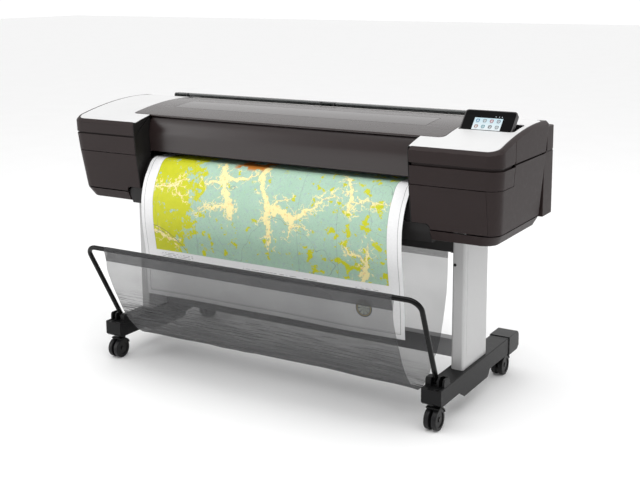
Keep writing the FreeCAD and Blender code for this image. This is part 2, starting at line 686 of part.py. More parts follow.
# ---------------------------------------------------------------- chassis
def make_chassis_frame():
    pan = box(-855.0, 855.0, -140.0, 189.0, PAN_Z0, PAN_Z1)
    plates = []
    for x0 in (-855.0, 851.0):
        outline = ((-130.0, PAN_Z1), (-130.0, 945.0), (168.0, 945.0), (168.0, PAN_Z1))
        plates.append(prism_x(outline, x0, x0 + 4.0))
    front_lip = box(-855.0, 855.0, -139.5, -136.5, PAN_Z1, 683.0)
    return fuse([pan, front_lip] + plates)


def make_platen():
    top = box(-INNER_X + 1.0, INNER_X - 1.0, -146.0, 22.0, 798.0, MEDIA_TOP_Z - 0.3)
    legs = []
    for x in (-560.0, -280.0, 0.0, 280.0, 560.0):
        legs.append(box(x - 8.0, x + 8.0, -120.0, 10.0, PAN_Z1, 798.0))
    grooves = []
    for index in range(-9, 10):
        grooves.append(box(index * 60.0 - 12.0, index * 60.0 + 12.0, -60.0, -20.0, 802.5, 806.0))
    return cut(fuse([top] + legs), grooves)


def make_feed_roller():
    z = MEDIA_TOP_Z - 0.3 - FEED_R
    parts = [cyl_x(FEED_Y, z, 7.0, -620.0, 620.0)]
    for index in range(-4, 5):
        parts.append(cyl_x(FEED_Y, z, FEED_R, index * 126.0 - 52.0, index * 126.0 + 52.0))
    return fuse(parts)


def make_feed_bearings():
    z = MEDIA_TOP_Z - 0.3 - FEED_R
    block = box(600.0, 612.0, FEED_Y - 16.0, FEED_Y + 16.0, PAN_Z1, z + 14.0)
    return block.cut(cyl_x(FEED_Y, z, 7.0 + RUNNING, 590.0, 630.0))


def make_pinch_rollers():
    z = MEDIA_TOP_Z + MEDIA_T + 0.3 + PINCH_R
    parts = [cyl_x(FEED_Y, z, 3.0, -552.0, 552.0)]
    for index in range(-4, 5):
        parts.append(cyl_x(FEED_Y, z, PINCH_R, index * 126.0 - 30.0, index * 126.0 + 30.0))
    return fuse(parts)


def make_carriage_beam():
    beam = box(-851.0, 851.0, RAIL_Y1, 104.0, BEAM_Z0, BEAM_Z1)
    beam = beam.cut(box(-852.0, 852.0, RAIL_Y1 + 3.0, 101.0, BEAM_Z0 + 3.0, BEAM_Z1 - 3.0))
    z = MEDIA_TOP_Z + MEDIA_T + 0.3 + PINCH_R
    arms = []
    for index in range(-4, 4):
        x = (index + 0.5) * 126.0
        foot = box(x - 6.0, x + 6.0, FEED_Y - 6.0, 76.0, 807.0, 826.0)
        post = box(x - 6.0, x + 6.0, 64.0, 76.0, 820.0, BEAM_Z0)
        arms.append(fuse([foot, post]).cut(cyl_x(FEED_Y, z, 3.0 + RUNNING, x - 7, x + 7)))
    return fuse([beam] + arms)


def make_carriage_rails():
    return [box(-850.9, 850.9, RAIL_Y0, RAIL_Y1, z0, z1) for z0, z1 in RAIL_LEVELS]


def make_cutter_rail():
    return box(-850.9, 850.9, -138.0, -128.0, 834.0, 846.0)


def make_carriage():
    x0, x1 = CARRIAGE_X0, CARRIAGE_X1
    body = box(x0, x1, -108.0, 30.0, 822.0, 940.0)
    body = body.makeFillet(6.0, edges_near(body, lambda p: p.z > 939.9 or p.y < -107.9))
    parts = [body]
    for low, high in RAIL_LEVELS:
        for sx in (x0 + 4.0, x1 - 34.0):
            shoe = box(sx, sx + 30.0, 29.0, 59.0, low - 7.0, high + 7.0)
            groove = box(sx - 1, sx + 31.0, RAIL_Y0 - 0.3, 60.0, low - 0.3, high + 0.3)
            parts.append(shoe.cut(groove))
    clamp = box(x0 + 55.0, x0 + 85.0, 29.0, 47.0, 922.0, 936.0)
    parts.append(clamp.cut(box(x0 + 50, x0 + 90, 33.5, 44.5, 926.4, 929.6)))
    body = fuse(parts)
    bay = box(x0 + 10.0, x1 - 10.0, -90.0, 20.0, 815.0, 830.0)
    cover_line = box(x0 - 1, x1 + 1, -109.0, -106.5, 880.0, 882.0)
    return cut(body, [bay, cover_line])


def make_printheads():
    heads = []
    for index in range(4):
        x = CARRIAGE_X0 + 14.0 + index * 29.0
        heads.append(box(x, x + 25.0, -84.0, 14.0, 812.0, 830.0))
    return heads


def make_carriage_drive():
    z_mid = 934.0
    parts = []
    for x in (-822.0, 822.0):
        parts.append(cyl_y(x, z_mid, 5.5, 34.0, 44.0))
        parts.append(cyl_y(x, z_mid, 2.5, 30.0, 106.0))
    motor = cyl_y(822.0, z_mid, 21.0, 106.0, 156.0)
    outer = box(-822.0, 822.0, 35.0, 43.0, z_mid - 7.0, z_mid + 7.0)
    inner = box(-822.0, 822.0, 34.5, 43.5, z_mid - 5.6, z_mid + 5.6)
    ends = [cyl_y(x, z_mid, 7.0, 35.0, 43.0).cut(cyl_y(x, z_mid, 5.6, 34.5, 43.5)) for x in (-822.0, 822.0)]
    halves = [ends[0].common(box(-900, -822, 0, 100, 900, 980))]
    halves.append(ends[1].common(box(822, 900, 0, 100, 900, 980)))
    belt = fuse([outer.cut(inner)] + halves)
    idler = fuse(parts[0:2])
    driver = fuse([parts[2], parts[3], motor])
    return [belt], [idler, driver]


def make_service_station():
    base = box(612.0, 772.0, -78.0, 30.0, 700.0, 796.0)
    base = base.cut(box(618.0, 766.0, -72.0, 24.0, 760.0, 800.0))
    caps = []
    for index in range(4):
        x = CARRIAGE_X0 + 14.0 + index * 29.0
        caps.append(box(x, x + 25.0, -70.0, 10.0, 760.0, 809.0))
    feet = box(640.0, 740.0, -60.0, 20.0, PAN_Z1, 700.0)
    return [fuse([base, feet] + caps)]


def make_cartridges():
    items = []
    for index in range(3):
        x = 612.0 + index * 76.0
        body = box(x, x + 66.0, -204.0, -88.0, 692.0, 792.0)
        body = body.makeFillet(4.0, edges_near(body, lambda p: p.y < -203.9))
        latch = box(x + 20.0, x + 46.0, -209.0, -203.0, 760.0, 774.0)
        items.append(fuse([body, latch]))
    return items


def make_cartridge_bay():
    tray = box(606.0, 838.0, -204.0, -86.0, 688.5, 692.0)
    back = box(606.0, 838.0, -88.0, -82.0, 692.0, 796.0)
    wall_starts = (605.0, 680.0, 756.0, 832.0)
    walls = [box(x, x + 6.0, -196.0, -88.0, 692.0, 788.0) for x in wall_starts]
    legs = [box(x, x + 10.0, -130.0, -90.0, PAN_Z1, 688.5) for x in (610.0, 822.0)]
    return fuse([tray, back] + walls + legs)


save("chassis_frame", [make_chassis_frame()] + pair(make_feed_bearings()))
save("platen", make_platen())
save("feed_roller", make_feed_roller())
save("pinch_rollers", make_pinch_rollers())
save("carriage_beam", make_carriage_beam())
save("guide_rails", make_carriage_rails() + [make_cutter_rail()])
save("carriage", make_carriage())
save("printheads", make_printheads())
belt_parts, drive_parts = make_carriage_drive()
save("drive_belt", belt_parts)
save("carriage_drive", drive_parts)
save("service_station", make_service_station())
cartridges = make_cartridges()
save("ink_cartridges", cartridges + [mirrored(item) for item in cartridges])
save("cartridge_bays", pair(make_cartridge_bay()))


# ------------------------------------------------------------------ media
def roll_exit():
    """Where the media leaves the underside of the roll."""
    y, z = 120.0, MEDIA_TOP_Z + 1.0
    radius = ROLL_R + 0.6
    distance = math.hypot(ROLL_Y - y, ROLL_Z - z)
    angle = math.atan2(ROLL_Z - z, ROLL_Y - y) - math.asin(radius / distance)
    reach = math.sqrt(distance ** 2 - radius ** 2)
    return (y + reach * math.cos(angle), z + reach * math.sin(angle))


def make_paper_web():
    """The printed web: off the roll, flat over the platen, then hanging in front."""
    exit_y, exit_z = roll_exit()
    flat_path = [
        (exit_y, exit_z), (120.0, MEDIA_TOP_Z + 1.0), (84.0, MEDIA_TOP_Z),
        (0.0, MEDIA_TOP_Z), (-100.0, MEDIA_TOP_Z),
    ]
    flat = folded_sheet(flat_path, -MEDIA_T, -MEDIA_HALF, MEDIA_HALF)
    drop_path = [(-100.0, MEDIA_TOP_Z)] + list(PAPER_DROP)
    drop = strip(drop_path, 0.0, -MEDIA_T, -MEDIA_HALF, MEDIA_HALF)
    return fuse([flat, drop])


def make_spindle():
    parts = [cyl_x(ROLL_Y, ROLL_Z, JOURNAL_R, -638.0, 638.0)]
    for x0, x1 in ((-571.0, -560.0), (560.0, 571.0)):
        parts.append(cyl_x(ROLL_Y, ROLL_Z, FLANGE_R, x0, x1))
    parts.append(cyl_x(ROLL_Y, ROLL_Z, CORE_R - 0.05, 500.0, 560.0))
    parts.append(cyl_x(ROLL_Y, ROLL_Z, CORE_R - 0.05, -560.0, -500.0))
    parts.append(cyl_x(ROLL_Y, ROLL_Z, 16.0, -590.0, 590.0))
    return fuse(parts)


def make_media_roll():
    roll = cyl_x(ROLL_Y, ROLL_Z, ROLL_R, -MEDIA_HALF, MEDIA_HALF)
    return roll.cut(cyl_x(ROLL_Y, ROLL_Z, CORE_R, -600, 600))


save("paper_web", make_paper_web())
save("spindle", make_spindle())
save("media_roll", make_media_roll())


# ----------------------------------------------------------------- cutter
def make_cutter():
    x0, x1 = 586.0, 612.0
    body = box(x0, x1, -146.0, -120.0, 812.0, 852.0)
    groove = box(x0 - 1, x1 + 1, -138.3, -127.7, 833.7, 846.3)
    open_top = box(x0 - 1, x1 + 1, -136.0, -130.0, 846.0, 853.0)
    blade = Part.makeCylinder(9.0, 1.0, Vector(599.0, -147.0, 817.0), Vector(0, 1, 0))
    return fuse([cut(body, [groove, open_top]), blade])


save("cutter", make_cutter())


# ------------------------------------------------------------------ stand
def make_foot():
    outline = (
        (FOOT_FRONT_Y, 98.0), (FOOT_FRONT_Y, 146.0), (-286.0, FOOT_TOP_Z), (400.0, FOOT_TOP_Z),
        (400.0, 88.0), (133.0, 88.0), (114.0, 64.0), (-95.0, 64.0), (-139.0, 90.0), (-280.0, 90.0),
    )
    body = prism_x(outline, FOOT_X0, FOOT_X1)
    top_edges = edges_near(body, lambda p: abs(p.z - FOOT_TOP_Z) < 0.1 and -287 < p.y < 401)
    body = body.makeFillet(3.0, [e for e in top_edges if e.Length > 600.0])
    hump = ((-262.0, 148.0), (-262.0, 170.0), (-256.0, 177.0), (-226.0, 177.0), (-208.0, 148.0))
    body = fuse([body, prism_x(hump, FOOT_X0 + 2.0, FOOT_X1 - 2.0)])
    arm_slot = box(PIVOT_X - 10.5, PIVOT_X + 10.5, -291.0, -205.0, 147.5, 180.0)
    spare_slot = box(706.0, 719.0, -291.0, -228.0, 147.5, 180.0)
    floor_cut = box(FOOT_X0 - 1, FOOT_X1 + 1, FOOT_FRONT_Y - 1, -263.0, 177.0, 180.0)
    bores = [cyl_z(CASTER_X, CASTER_STEM_Y["front"], STEM_R + RUNNING, 85.0, 122.0)]
    bores.append(cyl_z(CASTER_X, CASTER_STEM_Y["rear"], STEM_R + RUNNING, 80.0, 122.0))
    underside = box(FOOT_X0 + FOOT_WALL, FOOT_X1 - FOOT_WALL, -200.0, 312.0, 60.0, FOOT_TOP_Z - FOOT_WALL)
    body = cut(body, [arm_slot, spare_slot, floor_cut, underside] + bores)
    pin = cyl_x(PIVOT_Y, PIVOT_Z, 5.0, FOOT_X0 + 6.0, PIVOT_X + 14.0)
    return fuse([body, pin])


def make_foot_cap():
    outline = (
        (316.0, 82.0), (316.0, 152.5), (404.0, 152.5),
        (FOOT_REAR_Y, 138.0), (FOOT_REAR_Y, 94.0), (398.0, 82.0),
    )
    cap = prism_x(outline, FOOT_X0 - 3.0, FOOT_X1 + 3.0)
    inside = box(FOOT_X0 - 0.02, FOOT_X1 + 0.02, 300.0, 400.02, 87.98, FOOT_TOP_Z + 0.02)
    bore = cyl_z(CASTER_X, CASTER_STEM_Y["rear"], STEM_R + RUNNING, 80.0, 100.0)
    return cut(cap, [inside, bore])


def make_column():
    body = box(COLUMN_X0, COLUMN_X1, COLUMN_SPLIT_Y + 0.6, COLUMN_REAR_Y, FOOT_TOP_Z, PAN_Z0)
    rear = edges_near(body, lambda p: p.y > COLUMN_REAR_Y - 0.1)
    rear = [edge for edge in rear if edge.Length > 300.0]
    body = body.makeFillet(8.0, rear)
    hollow = box(COLUMN_X0 + 3, COLUMN_X1 - 3, COLUMN_SPLIT_Y + 4, COLUMN_REAR_Y - 11,
                 FOOT_TOP_Z - 1, PAN_Z0 + 1)
    return body.cut(hollow)


def make_column_front():
    body = box(COLUMN_X0, COLUMN_X1, COLUMN_FRONT_Y, COLUMN_SPLIT_Y - 0.6, FOOT_TOP_Z, PAN_Z0 - 1.0)
    corner = [e for e in edges_near(body, lambda p: p.y < COLUMN_FRONT_Y + 0.1) if e.Length > 100.0]
    body = body.makeFillet(9.0, corner)
    hollow = box(COLUMN_X0 + 3, COLUMN_X1 - 3, COLUMN_FRONT_Y + 10, COLUMN_SPLIT_Y, FOOT_TOP_Z - 1, PAN_Z0)
    screw = cyl_y(COLUMN_X0 + 11.0, COLUMN_SCREW_Z, 5.2, COLUMN_FRONT_Y - 1.0, COLUMN_FRONT_Y + 9.0)
    return cut(body, [hollow, screw])


def make_column_screws():
    head = cyl_y(COLUMN_X0 + 11.0, COLUMN_SCREW_Z, 5.1, COLUMN_FRONT_Y - 1.5, COLUMN_FRONT_Y + 8.5)
    socket = Part.makePolygon([
        Vector(COLUMN_X0 + 11.0 + 2.4 * math.cos(k * math.pi / 3), COLUMN_FRONT_Y - 2.0,
               COLUMN_SCREW_Z + 2.4 * math.sin(k * math.pi / 3)) for k in range(7)
    ])
    return head.cut(Part.Face(socket).extrude(Vector(0, 4.0, 0)))


def make_crossbeam():
    beam = box(-COLUMN_X0, COLUMN_X0, 20.0, 62.0, 151.0, 217.0)
    beam = beam.makeFillet(3.0, [e for e in beam.Edges if e.Length > 1000.0])
    return beam.cut(box(-COLUMN_X0 - 1, COLUMN_X0 + 1, 23.0, 59.0, 154.0, 214.0))


def make_top_bar():
    bar = box(-COLUMN_X0, COLUMN_X0, -40.0, 30.0, 552.0, PAN_Z0)
    hollow = box(-COLUMN_X0 - 1, COLUMN_X0 + 1, -36.0, 26.0, 556.0, PAN_Z0 - 4.0)
    return bar.cut(hollow)


save("feet", pair(make_foot()))
save("foot_caps", pair(make_foot_cap()))
save("columns", pair(make_column()))
save("column_fronts", pair(make_column_front()))
save("column_screws", pair(make_column_screws()))
save("stand_crossbeam", make_crossbeam())
save("stand_top_bar", make_top_bar())


# ---------------------------------------------------------------- casters
def make_caster(end):
    """Swivel piece and twin wheels of one caster on the right-hand foot."""
    stem_y = CASTER_STEM_Y[end]
    axle_y = stem_y - CASTER_TRAIL
    x = CASTER_X
    seat = CASTER_SEAT_Z[end]
    hood_r = 42.0
    stem = cyl_z(x, stem_y, STEM_R, 70.0, 116.0)
    collar = cyl_z(x, stem_y, 13.0, 70.0, seat - 0.5)
    web = cyl_x(axle_y, WHEEL_R, 16.0, x - 4.0, x + 4.0)
    spine = box(x - 4.0, x + 4.0, axle_y - 4.0, stem_y + 12.0, WHEEL_R, 78.0)
    hood = cyl_x(axle_y, WHEEL_R, hood_r, x - 25.0, x + 25.0)
    hood = hood.cut(cyl_x(axle_y, WHEEL_R, WHEEL_R + 1.5, x - 26.0, x + 26.0))
    hood = hood.common(box(x - 30, x + 30, axle_y - 12.0, stem_y + 14.0, WHEEL_R + 12.0, 90.0))
    wheel_room = []
    for x0 in (x - 27.0, x + 4.2):
        wheel_room.append(cyl_x(axle_y, WHEEL_R, WHEEL_R + 1.5, x0, x0 + 22.8))
    fork = fuse([stem, collar, web, spine, hood])
    fork = cut(fork, wheel_room + [cyl_x(axle_y, WHEEL_R, 4.0 + RUNNING, x - 5, x + 5)])
    rim = []
    for side in (-1.0, 1.0):
        x0 = x + side * WHEEL_GAP if side > 0 else x - WHEEL_GAP - WHEEL_W
        disc = cyl_x(axle_y, WHEEL_R, WHEEL_R, x0, x0 + WHEEL_W)
        round_edges = [e for e in disc.Edges if abs(e.Length - 2 * math.pi * WHEEL_R) < 1.0]
        disc = disc.makeFillet(3.0, round_edges)
        face_x = x0 + WHEEL_W - 3.0 if side > 0 else x0 - 1.0
        dish = cyl_x(axle_y, WHEEL_R, 27.0, face_x, face_x + 4.0)
        hub = cyl_x(axle_y, WHEEL_R, 9.0, face_x, face_x + 4.0).common(disc)
        rim.append(fuse([disc.cut(dish), hub]))
    axle = cyl_x(axle_y, WHEEL_R, 4.0, x - WHEEL_GAP - 2.0, x + WHEEL_GAP + 2.0)
    return fork, fuse(rim + [axle])


for end in ("front", "rear"):
    fork, wheels = make_caster(end)
    save("caster_fork_" + end + "_right", fork)
    save("caster_fork_" + end + "_left", mirrored(fork))
    save("caster_wheels_" + end + "_right", wheels)
    save("caster_wheels_" + end + "_left", mirrored(wheels))


# ----------------------------------------------------------------- basket
def make_basket_frame():
    start = Vector(PIVOT_X, PIVOT_Y, PIVOT_Z)
    corner = Vector(BAR_X, BAR_Y, BAR_Z)
    to_start = (start - corner).normalize()
    to_middle = Vector(-1, 0, 0)
    half = 0.5 * to_start.getAngle(to_middle)
    reach = BEND_R / math.tan(half)
    bisector = (to_start + to_middle).normalize()
    centre = corner + bisector * (BEND_R / math.sin(half))
    a = corner + to_start * reach
    b = corner + to_middle * reach
    m = centre + (corner - centre).normalize() * BEND_R
    path = [Part.makeLine(start, a), Part.Arc(a, m, b).toShape()]
    far = [edge.mirror(Vector(0, 0, 0), Vector(1, 0, 0)) for edge in path]
    bridge = Part.makeLine(b, Vector(-b.x, b.y, b.z))
    spine = Part.Wire(Part.__sortEdges__(path + [bridge] + far))
    circle = Part.Wire(Part.makeCircle(BAR_R, start, (a - start)))
    tube = spine.makePipeShell([circle], True, False)
    eyes = []
    for side in (-1.0, 1.0):
        x0 = side * PIVOT_X - 9.0
        eyes.append(cyl_x(PIVOT_Y, PIVOT_Z, 10.5, x0, x0 + 18.0))
    frame = fuse([tube] + eyes)
    bore = cyl_x(PIVOT_Y, PIVOT_Z, 5.0 + RUNNING, PIVOT_X - 30.0, PIVOT_X + 30.0)
    return cut(frame, [bore, mirrored(bore)])


def make_fabric():
    sheet = strip(FABRIC_PATH, -0.5 * FABRIC_T, 0.5 * FABRIC_T, -FABRIC_HALF, FABRIC_HALF)
    hem = cyl_x(BAR_Y, BAR_Z, HEM_R, -FABRIC_HALF, FABRIC_HALF)
    hem = hem.cut(cyl_x(BAR_Y, BAR_Z, BAR_R + 0.02, -FABRIC_HALF - 1, FABRIC_HALF + 1))
    sleeve = cyl_x(ROD_Y, ROD_Z, ROD_R + 1.0, -FABRIC_HALF, FABRIC_HALF)
    sleeve = sleeve.cut(cyl_x(ROD_Y, ROD_Z, ROD_R + 0.02, -FABRIC_HALF - 1, FABRIC_HALF + 1))
    bar_room = cyl_x(BAR_Y, BAR_Z, HEM_R - 0.2, -700, 700)
    rod_room = cyl_x(ROD_Y, ROD_Z, ROD_R + 0.8, -700, 700)
    sheet = cut(sheet, [bar_room, rod_room])
    return fuse([sheet, hem, sleeve])


def make_rear_rod():
    rod = cyl_x(ROD_Y, ROD_Z, ROD_R, -632.0, 632.0)
    hangers = []
    for x0 in (-632.0, 620.0):
        hangers.append(box(x0, x0 + 12.0, ROD_Y - 6.0, ROD_Y + 6.0, ROD_Z - 6.0, 552.0))
    return fuse([rod] + hangers)


save("basket_frame", make_basket_frame())
save("basket_fabric", make_fabric())
save("basket_rear_rod", make_rear_rod())
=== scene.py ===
import json
import math

import bmesh
import bpy
import numpy as np
from mathutils import Matrix, Vector
from mathutils.bvhtree import BVHTree

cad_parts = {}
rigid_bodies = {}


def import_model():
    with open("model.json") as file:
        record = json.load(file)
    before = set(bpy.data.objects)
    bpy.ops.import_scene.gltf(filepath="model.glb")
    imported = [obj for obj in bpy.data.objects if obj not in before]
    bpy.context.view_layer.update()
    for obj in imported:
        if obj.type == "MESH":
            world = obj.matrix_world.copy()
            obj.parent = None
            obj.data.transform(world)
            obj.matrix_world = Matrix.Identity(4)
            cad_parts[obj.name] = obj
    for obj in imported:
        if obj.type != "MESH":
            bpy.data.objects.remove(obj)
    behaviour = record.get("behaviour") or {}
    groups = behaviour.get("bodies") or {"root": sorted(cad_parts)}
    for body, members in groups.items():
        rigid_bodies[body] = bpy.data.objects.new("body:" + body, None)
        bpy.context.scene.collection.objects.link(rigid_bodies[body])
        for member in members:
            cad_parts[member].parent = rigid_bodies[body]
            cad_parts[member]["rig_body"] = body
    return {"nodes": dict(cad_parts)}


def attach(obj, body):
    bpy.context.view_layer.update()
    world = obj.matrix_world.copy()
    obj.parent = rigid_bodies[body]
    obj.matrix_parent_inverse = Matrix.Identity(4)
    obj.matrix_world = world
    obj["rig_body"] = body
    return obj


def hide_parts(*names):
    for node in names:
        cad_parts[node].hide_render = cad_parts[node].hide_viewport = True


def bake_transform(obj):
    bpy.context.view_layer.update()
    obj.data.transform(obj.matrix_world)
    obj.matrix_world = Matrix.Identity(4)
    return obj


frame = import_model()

scene = bpy.context.scene
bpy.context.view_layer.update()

# ---- Camera --------
# A long lens a little above the lid, standing to the right of the front. The lens is
# shifted, as on a view camera, so the uprights stay nearly parallel.
CAMERA_YAW, CAMERA_PITCH, CAMERA_ROLL = 31.13, 9.75, -0.32


def new_object(name, data):
    """An object that holds the data, linked into the scene."""
    made = bpy.data.objects.new(name, data)
    scene.collection.objects.link(made)
    return made


camera_data = bpy.data.cameras.new("view")
camera_data.lens = 59.5
camera_data.sensor_width = 36.0
camera_data.shift_y = -0.125
camera_data.clip_end = 60.0
camera = new_object("view", camera_data)
camera.matrix_world = (
    Matrix.Translation((2.091, -3.305, 1.486))
    @ Matrix.Rotation(math.radians(CAMERA_YAW), 4, "Z")
    @ Matrix.Rotation(math.radians(90.0 - CAMERA_PITCH), 4, "X")
    @ Matrix.Rotation(math.radians(CAMERA_ROLL), 4, "Z")
)
scene.camera = camera
scene.view_settings.view_transform = "Standard"

# ---- Studio: floor, sky and softboxes --------
# A white painted floor that runs out of sight, a bright backdrop behind the machine, and
# three big softboxes: one overhead, one at each side.


def add_node(tree, kind, links=None, **settings):
    """A node of that kind, with its settings and the value or source of each socket."""
    made = tree.nodes.new(kind)
    for name, value in settings.items():
        setattr(made, name, value)
    for socket, source in (links or {}).items():
        if isinstance(source, bpy.types.NodeSocket):
            tree.links.new(source, made.inputs[socket])
        else:
            made.inputs[socket].default_value = source
    return made


def feed(node, sources):
    """Links outputs of other nodes to a node's sockets."""
    for socket, source in sources.items():
        node.id_data.links.new(source, node.inputs[socket])


def math_node(operation, *values):
    """The result socket of one Math node, in the tree that its inputs come from."""
    tree = next(v.id_data for v in values if isinstance(v, bpy.types.NodeSocket))
    made = add_node(tree, "ShaderNodeMath", dict(enumerate(values)), operation=operation)
    return made.outputs[0]


def times(first, second):
    return math_node("MULTIPLY", first, second)


def plus(first, second):
    return math_node("ADD", first, second)


def mix_colour(factor, first, second):
    """The colour socket of one Mix node."""
    made = add_node(factor.id_data, "ShaderNodeMix", {0: factor}, data_type="RGBA")
    for socket, source in ((6, first), (7, second)):
        if isinstance(source, bpy.types.NodeSocket):
            feed(made, {socket: source})
        else:
            made.inputs[socket].default_value = (*source, 1.0)
    return made.outputs[2]


def remap(value, low, high, to_low=0.0, to_high=1.0):
    """A clamped, smooth step of value from low..high to to_low..to_high."""
    made = add_node(value.id_data, "ShaderNodeMapRange",
                    {0: value, 1: low, 2: high, 3: to_low, 4: to_high},
                    interpolation_type="SMOOTHSTEP")
    return made.outputs[0]


def object_coords(tree):
    return add_node(tree, "ShaderNodeTexCoord").outputs["Object"]


def component(vector, axis):
    """The X, Y or Z of a vector."""
    return add_node(vector.id_data, "ShaderNodeSeparateXYZ", {0: vector}).outputs[axis]


def noise(vector, scale, **settings):
    """Noise over a vector. The settings are the node's other sockets."""
    made = add_node(vector.id_data, "ShaderNodeTexNoise",
                    {"Vector": vector, "Scale": scale, **settings})
    return made.outputs[0]


def new_material(name, settings):
    """A material with a Principled BSDF whose plain settings are on its own sockets."""
    material = bpy.data.materials.new(name)
    material.use_nodes = True
    shader = material.node_tree.nodes["Principled BSDF"]
    for socket, value in settings.items():
        shader.inputs[socket].default_value = value
    return material, material.node_tree, shader


FLOOR_HALF = 30.0
floor_mesh = bpy.data.meshes.new("studio_floor")
floor_mesh.from_pydata(
    [(-FLOOR_HALF, -FLOOR_HALF, 0), (FLOOR_HALF, -FLOOR_HALF, 0),
     (FLOOR_HALF, FLOOR_HALF, 0), (-FLOOR_HALF, FLOOR_HALF, 0)], [], [(0, 1, 2, 3)])
floor = new_object("studio_floor", floor_mesh)
floor_material, tree, shader = new_material("floor_paint", {"Roughness": 0.8})
feed(shader, {"Base Color": mix_colour(noise(object_coords(tree), 3.0), (0.93, 0.93, 0.93),
                                       (0.96, 0.96, 0.96))})
floor_mesh.materials.append(floor_material)

world = bpy.data.worlds.new("studio_sky")
world.use_nodes = True
scene.world = world
tree = world.node_tree
sky = tree.nodes["Background"]
sky.inputs["Color"].default_value = (1.0, 1.0, 1.0, 1.0)
BACKDROP_SIDE = (-0.517, 0.856, 0.0)
direction = add_node(tree, "ShaderNodeTexCoord").outputs["Generated"]
facing = add_node(tree, "ShaderNodeVectorMath", {0: direction, 1: BACKDROP_SIDE},
                  operation="DOT_PRODUCT").outputs["Value"]
height = component(direction, "Z")
horizon = remap(facing, -0.6, 0.8, 0.42, 1.05)
above = remap(height, 0.25, 0.95)
glow = plus(times(horizon, math_node("SUBTRACT", 1.0, above)), times(above, 1.12))
seen = add_node(tree, "ShaderNodeLightPath").outputs["Is Camera Ray"]
feed(sky, {"Strength": math_node("MAXIMUM", glow, seen)})


def softbox(name, place, target, width, height, power):
    """A rectangular area light that faces a point."""
    light = bpy.data.lights.new(name, "AREA")
    light.shape = "RECTANGLE"
    light.size = width
    light.size_y = height
    light.energy = power
    lamp = new_object(name, light)
    lamp.location = place
    lamp.rotation_euler = (Vector(target) - Vector(place)).to_track_quat("-Z", "Y").to_euler()


softbox("overhead_softbox", (0.9, -1.1, 4.3), (0.1, 0.0, 0.6), 5.0, 4.0, 95.0)
softbox("right_softbox", (4.6, 0.3, 1.9), (0.6, 0.0, 0.7), 2.2, 2.6, 8.0)
softbox("left_softbox", (-3.6, -3.0, 1.5), (-0.7, 0.0, 0.7), 2.0, 2.4, 34.0)

# ---- Casters --------
# Four twin-wheel swivel casters. Moulded nylon forks and hoods, wheels with a rubber tread
# over a hard hub, and a steel stem pressed up into each foot.


def shader_group(name, inputs, outputs):
    """An empty shader group with its sockets, and its two end nodes."""
    group = bpy.data.node_groups.new(name, "ShaderNodeTree")
    for label, value in inputs.items():
        socket = group.interface.new_socket(label, in_out="INPUT", socket_type="NodeSocketFloat")
        socket.default_value = value
    for label, kind in outputs.items():
        group.interface.new_socket(label, in_out="OUTPUT", socket_type=kind)
    return group, group.nodes.new("NodeGroupInput"), group.nodes.new("NodeGroupOutput")


# Spark-eroded mould texture: a fine height, and a slow mottle across the surface.
grain_group, given, made = shader_group(
    "moulded_grain", {"Grain": 0.0011},
    {"Height": "NodeSocketFloat", "Mottle": "NodeSocketFloat"})
coords = object_coords(grain_group)
fineness = math_node("DIVIDE", 1.0, given.outputs["Grain"])
feed(made, {"Height": noise(coords, fineness, Detail=2.0, Roughness=0.6),
            "Mottle": noise(coords, 5.0, Detail=4.0, Roughness=0.55)})

# Use and light: dust that settles on faces that look up, faint rub marks, and a paler rounded
# rim, partly wear and partly a painted highlight.
use_and_highlight_group, given, made = shader_group(
    "signs_of_use_and_rim_highlight", {"Dust": 0.3, "Rim Wear And Highlight": 0.5},
    {"Dust": "NodeSocketFloat", "Rub": "NodeSocketFloat", "Rim Wear And Highlight": "NodeSocketFloat"})
coords = object_coords(use_and_highlight_group)
up = component(add_node(use_and_highlight_group, "ShaderNodeNewGeometry").outputs["Normal"], "Z")
settled = times(remap(up, 0.25, 0.95),
                remap(noise(coords, 9.0, Detail=6.0, Roughness=0.7), 0.35, 0.7))


def stretch(vector, scale):
    """A vector scaled along each axis."""
    return add_node(vector.id_data, "ShaderNodeMapping",
                    {"Vector": vector, "Scale": scale}).outputs[0]


streak = noise(stretch(coords, (3.0, 24.0, 24.0)), 2.2, Detail=3.0)
rim = add_node(use_and_highlight_group, "ShaderNodeAttribute", attribute_name="rim").outputs["Fac"]
chips = remap(noise(coords, 42.0, Detail=4.0), 0.38, 0.62)
feed(made, {"Dust": times(settled, given.outputs["Dust"]),
            "Rub": remap(streak, 0.45, 0.72),
            "Rim Wear And Highlight": times(times(rim, chips), given.outputs["Rim Wear And Highlight"])})


def place_group(tree, group, values):
    """A group in a material, with its own values."""
    made = tree.nodes.new("ShaderNodeGroup")
    made.node_tree = group
    for label, value in values.items():
        made.inputs[label].default_value = value
    return made


def bump(shader, height, distance, strength):
    """Puts a bump of that height on a shader's normal."""
    made = add_node(shader.id_data, "ShaderNodeBump",
                    {"Height": height, "Distance": distance, "Strength": strength})
    feed(shader, {"Normal": made.outputs[0]})


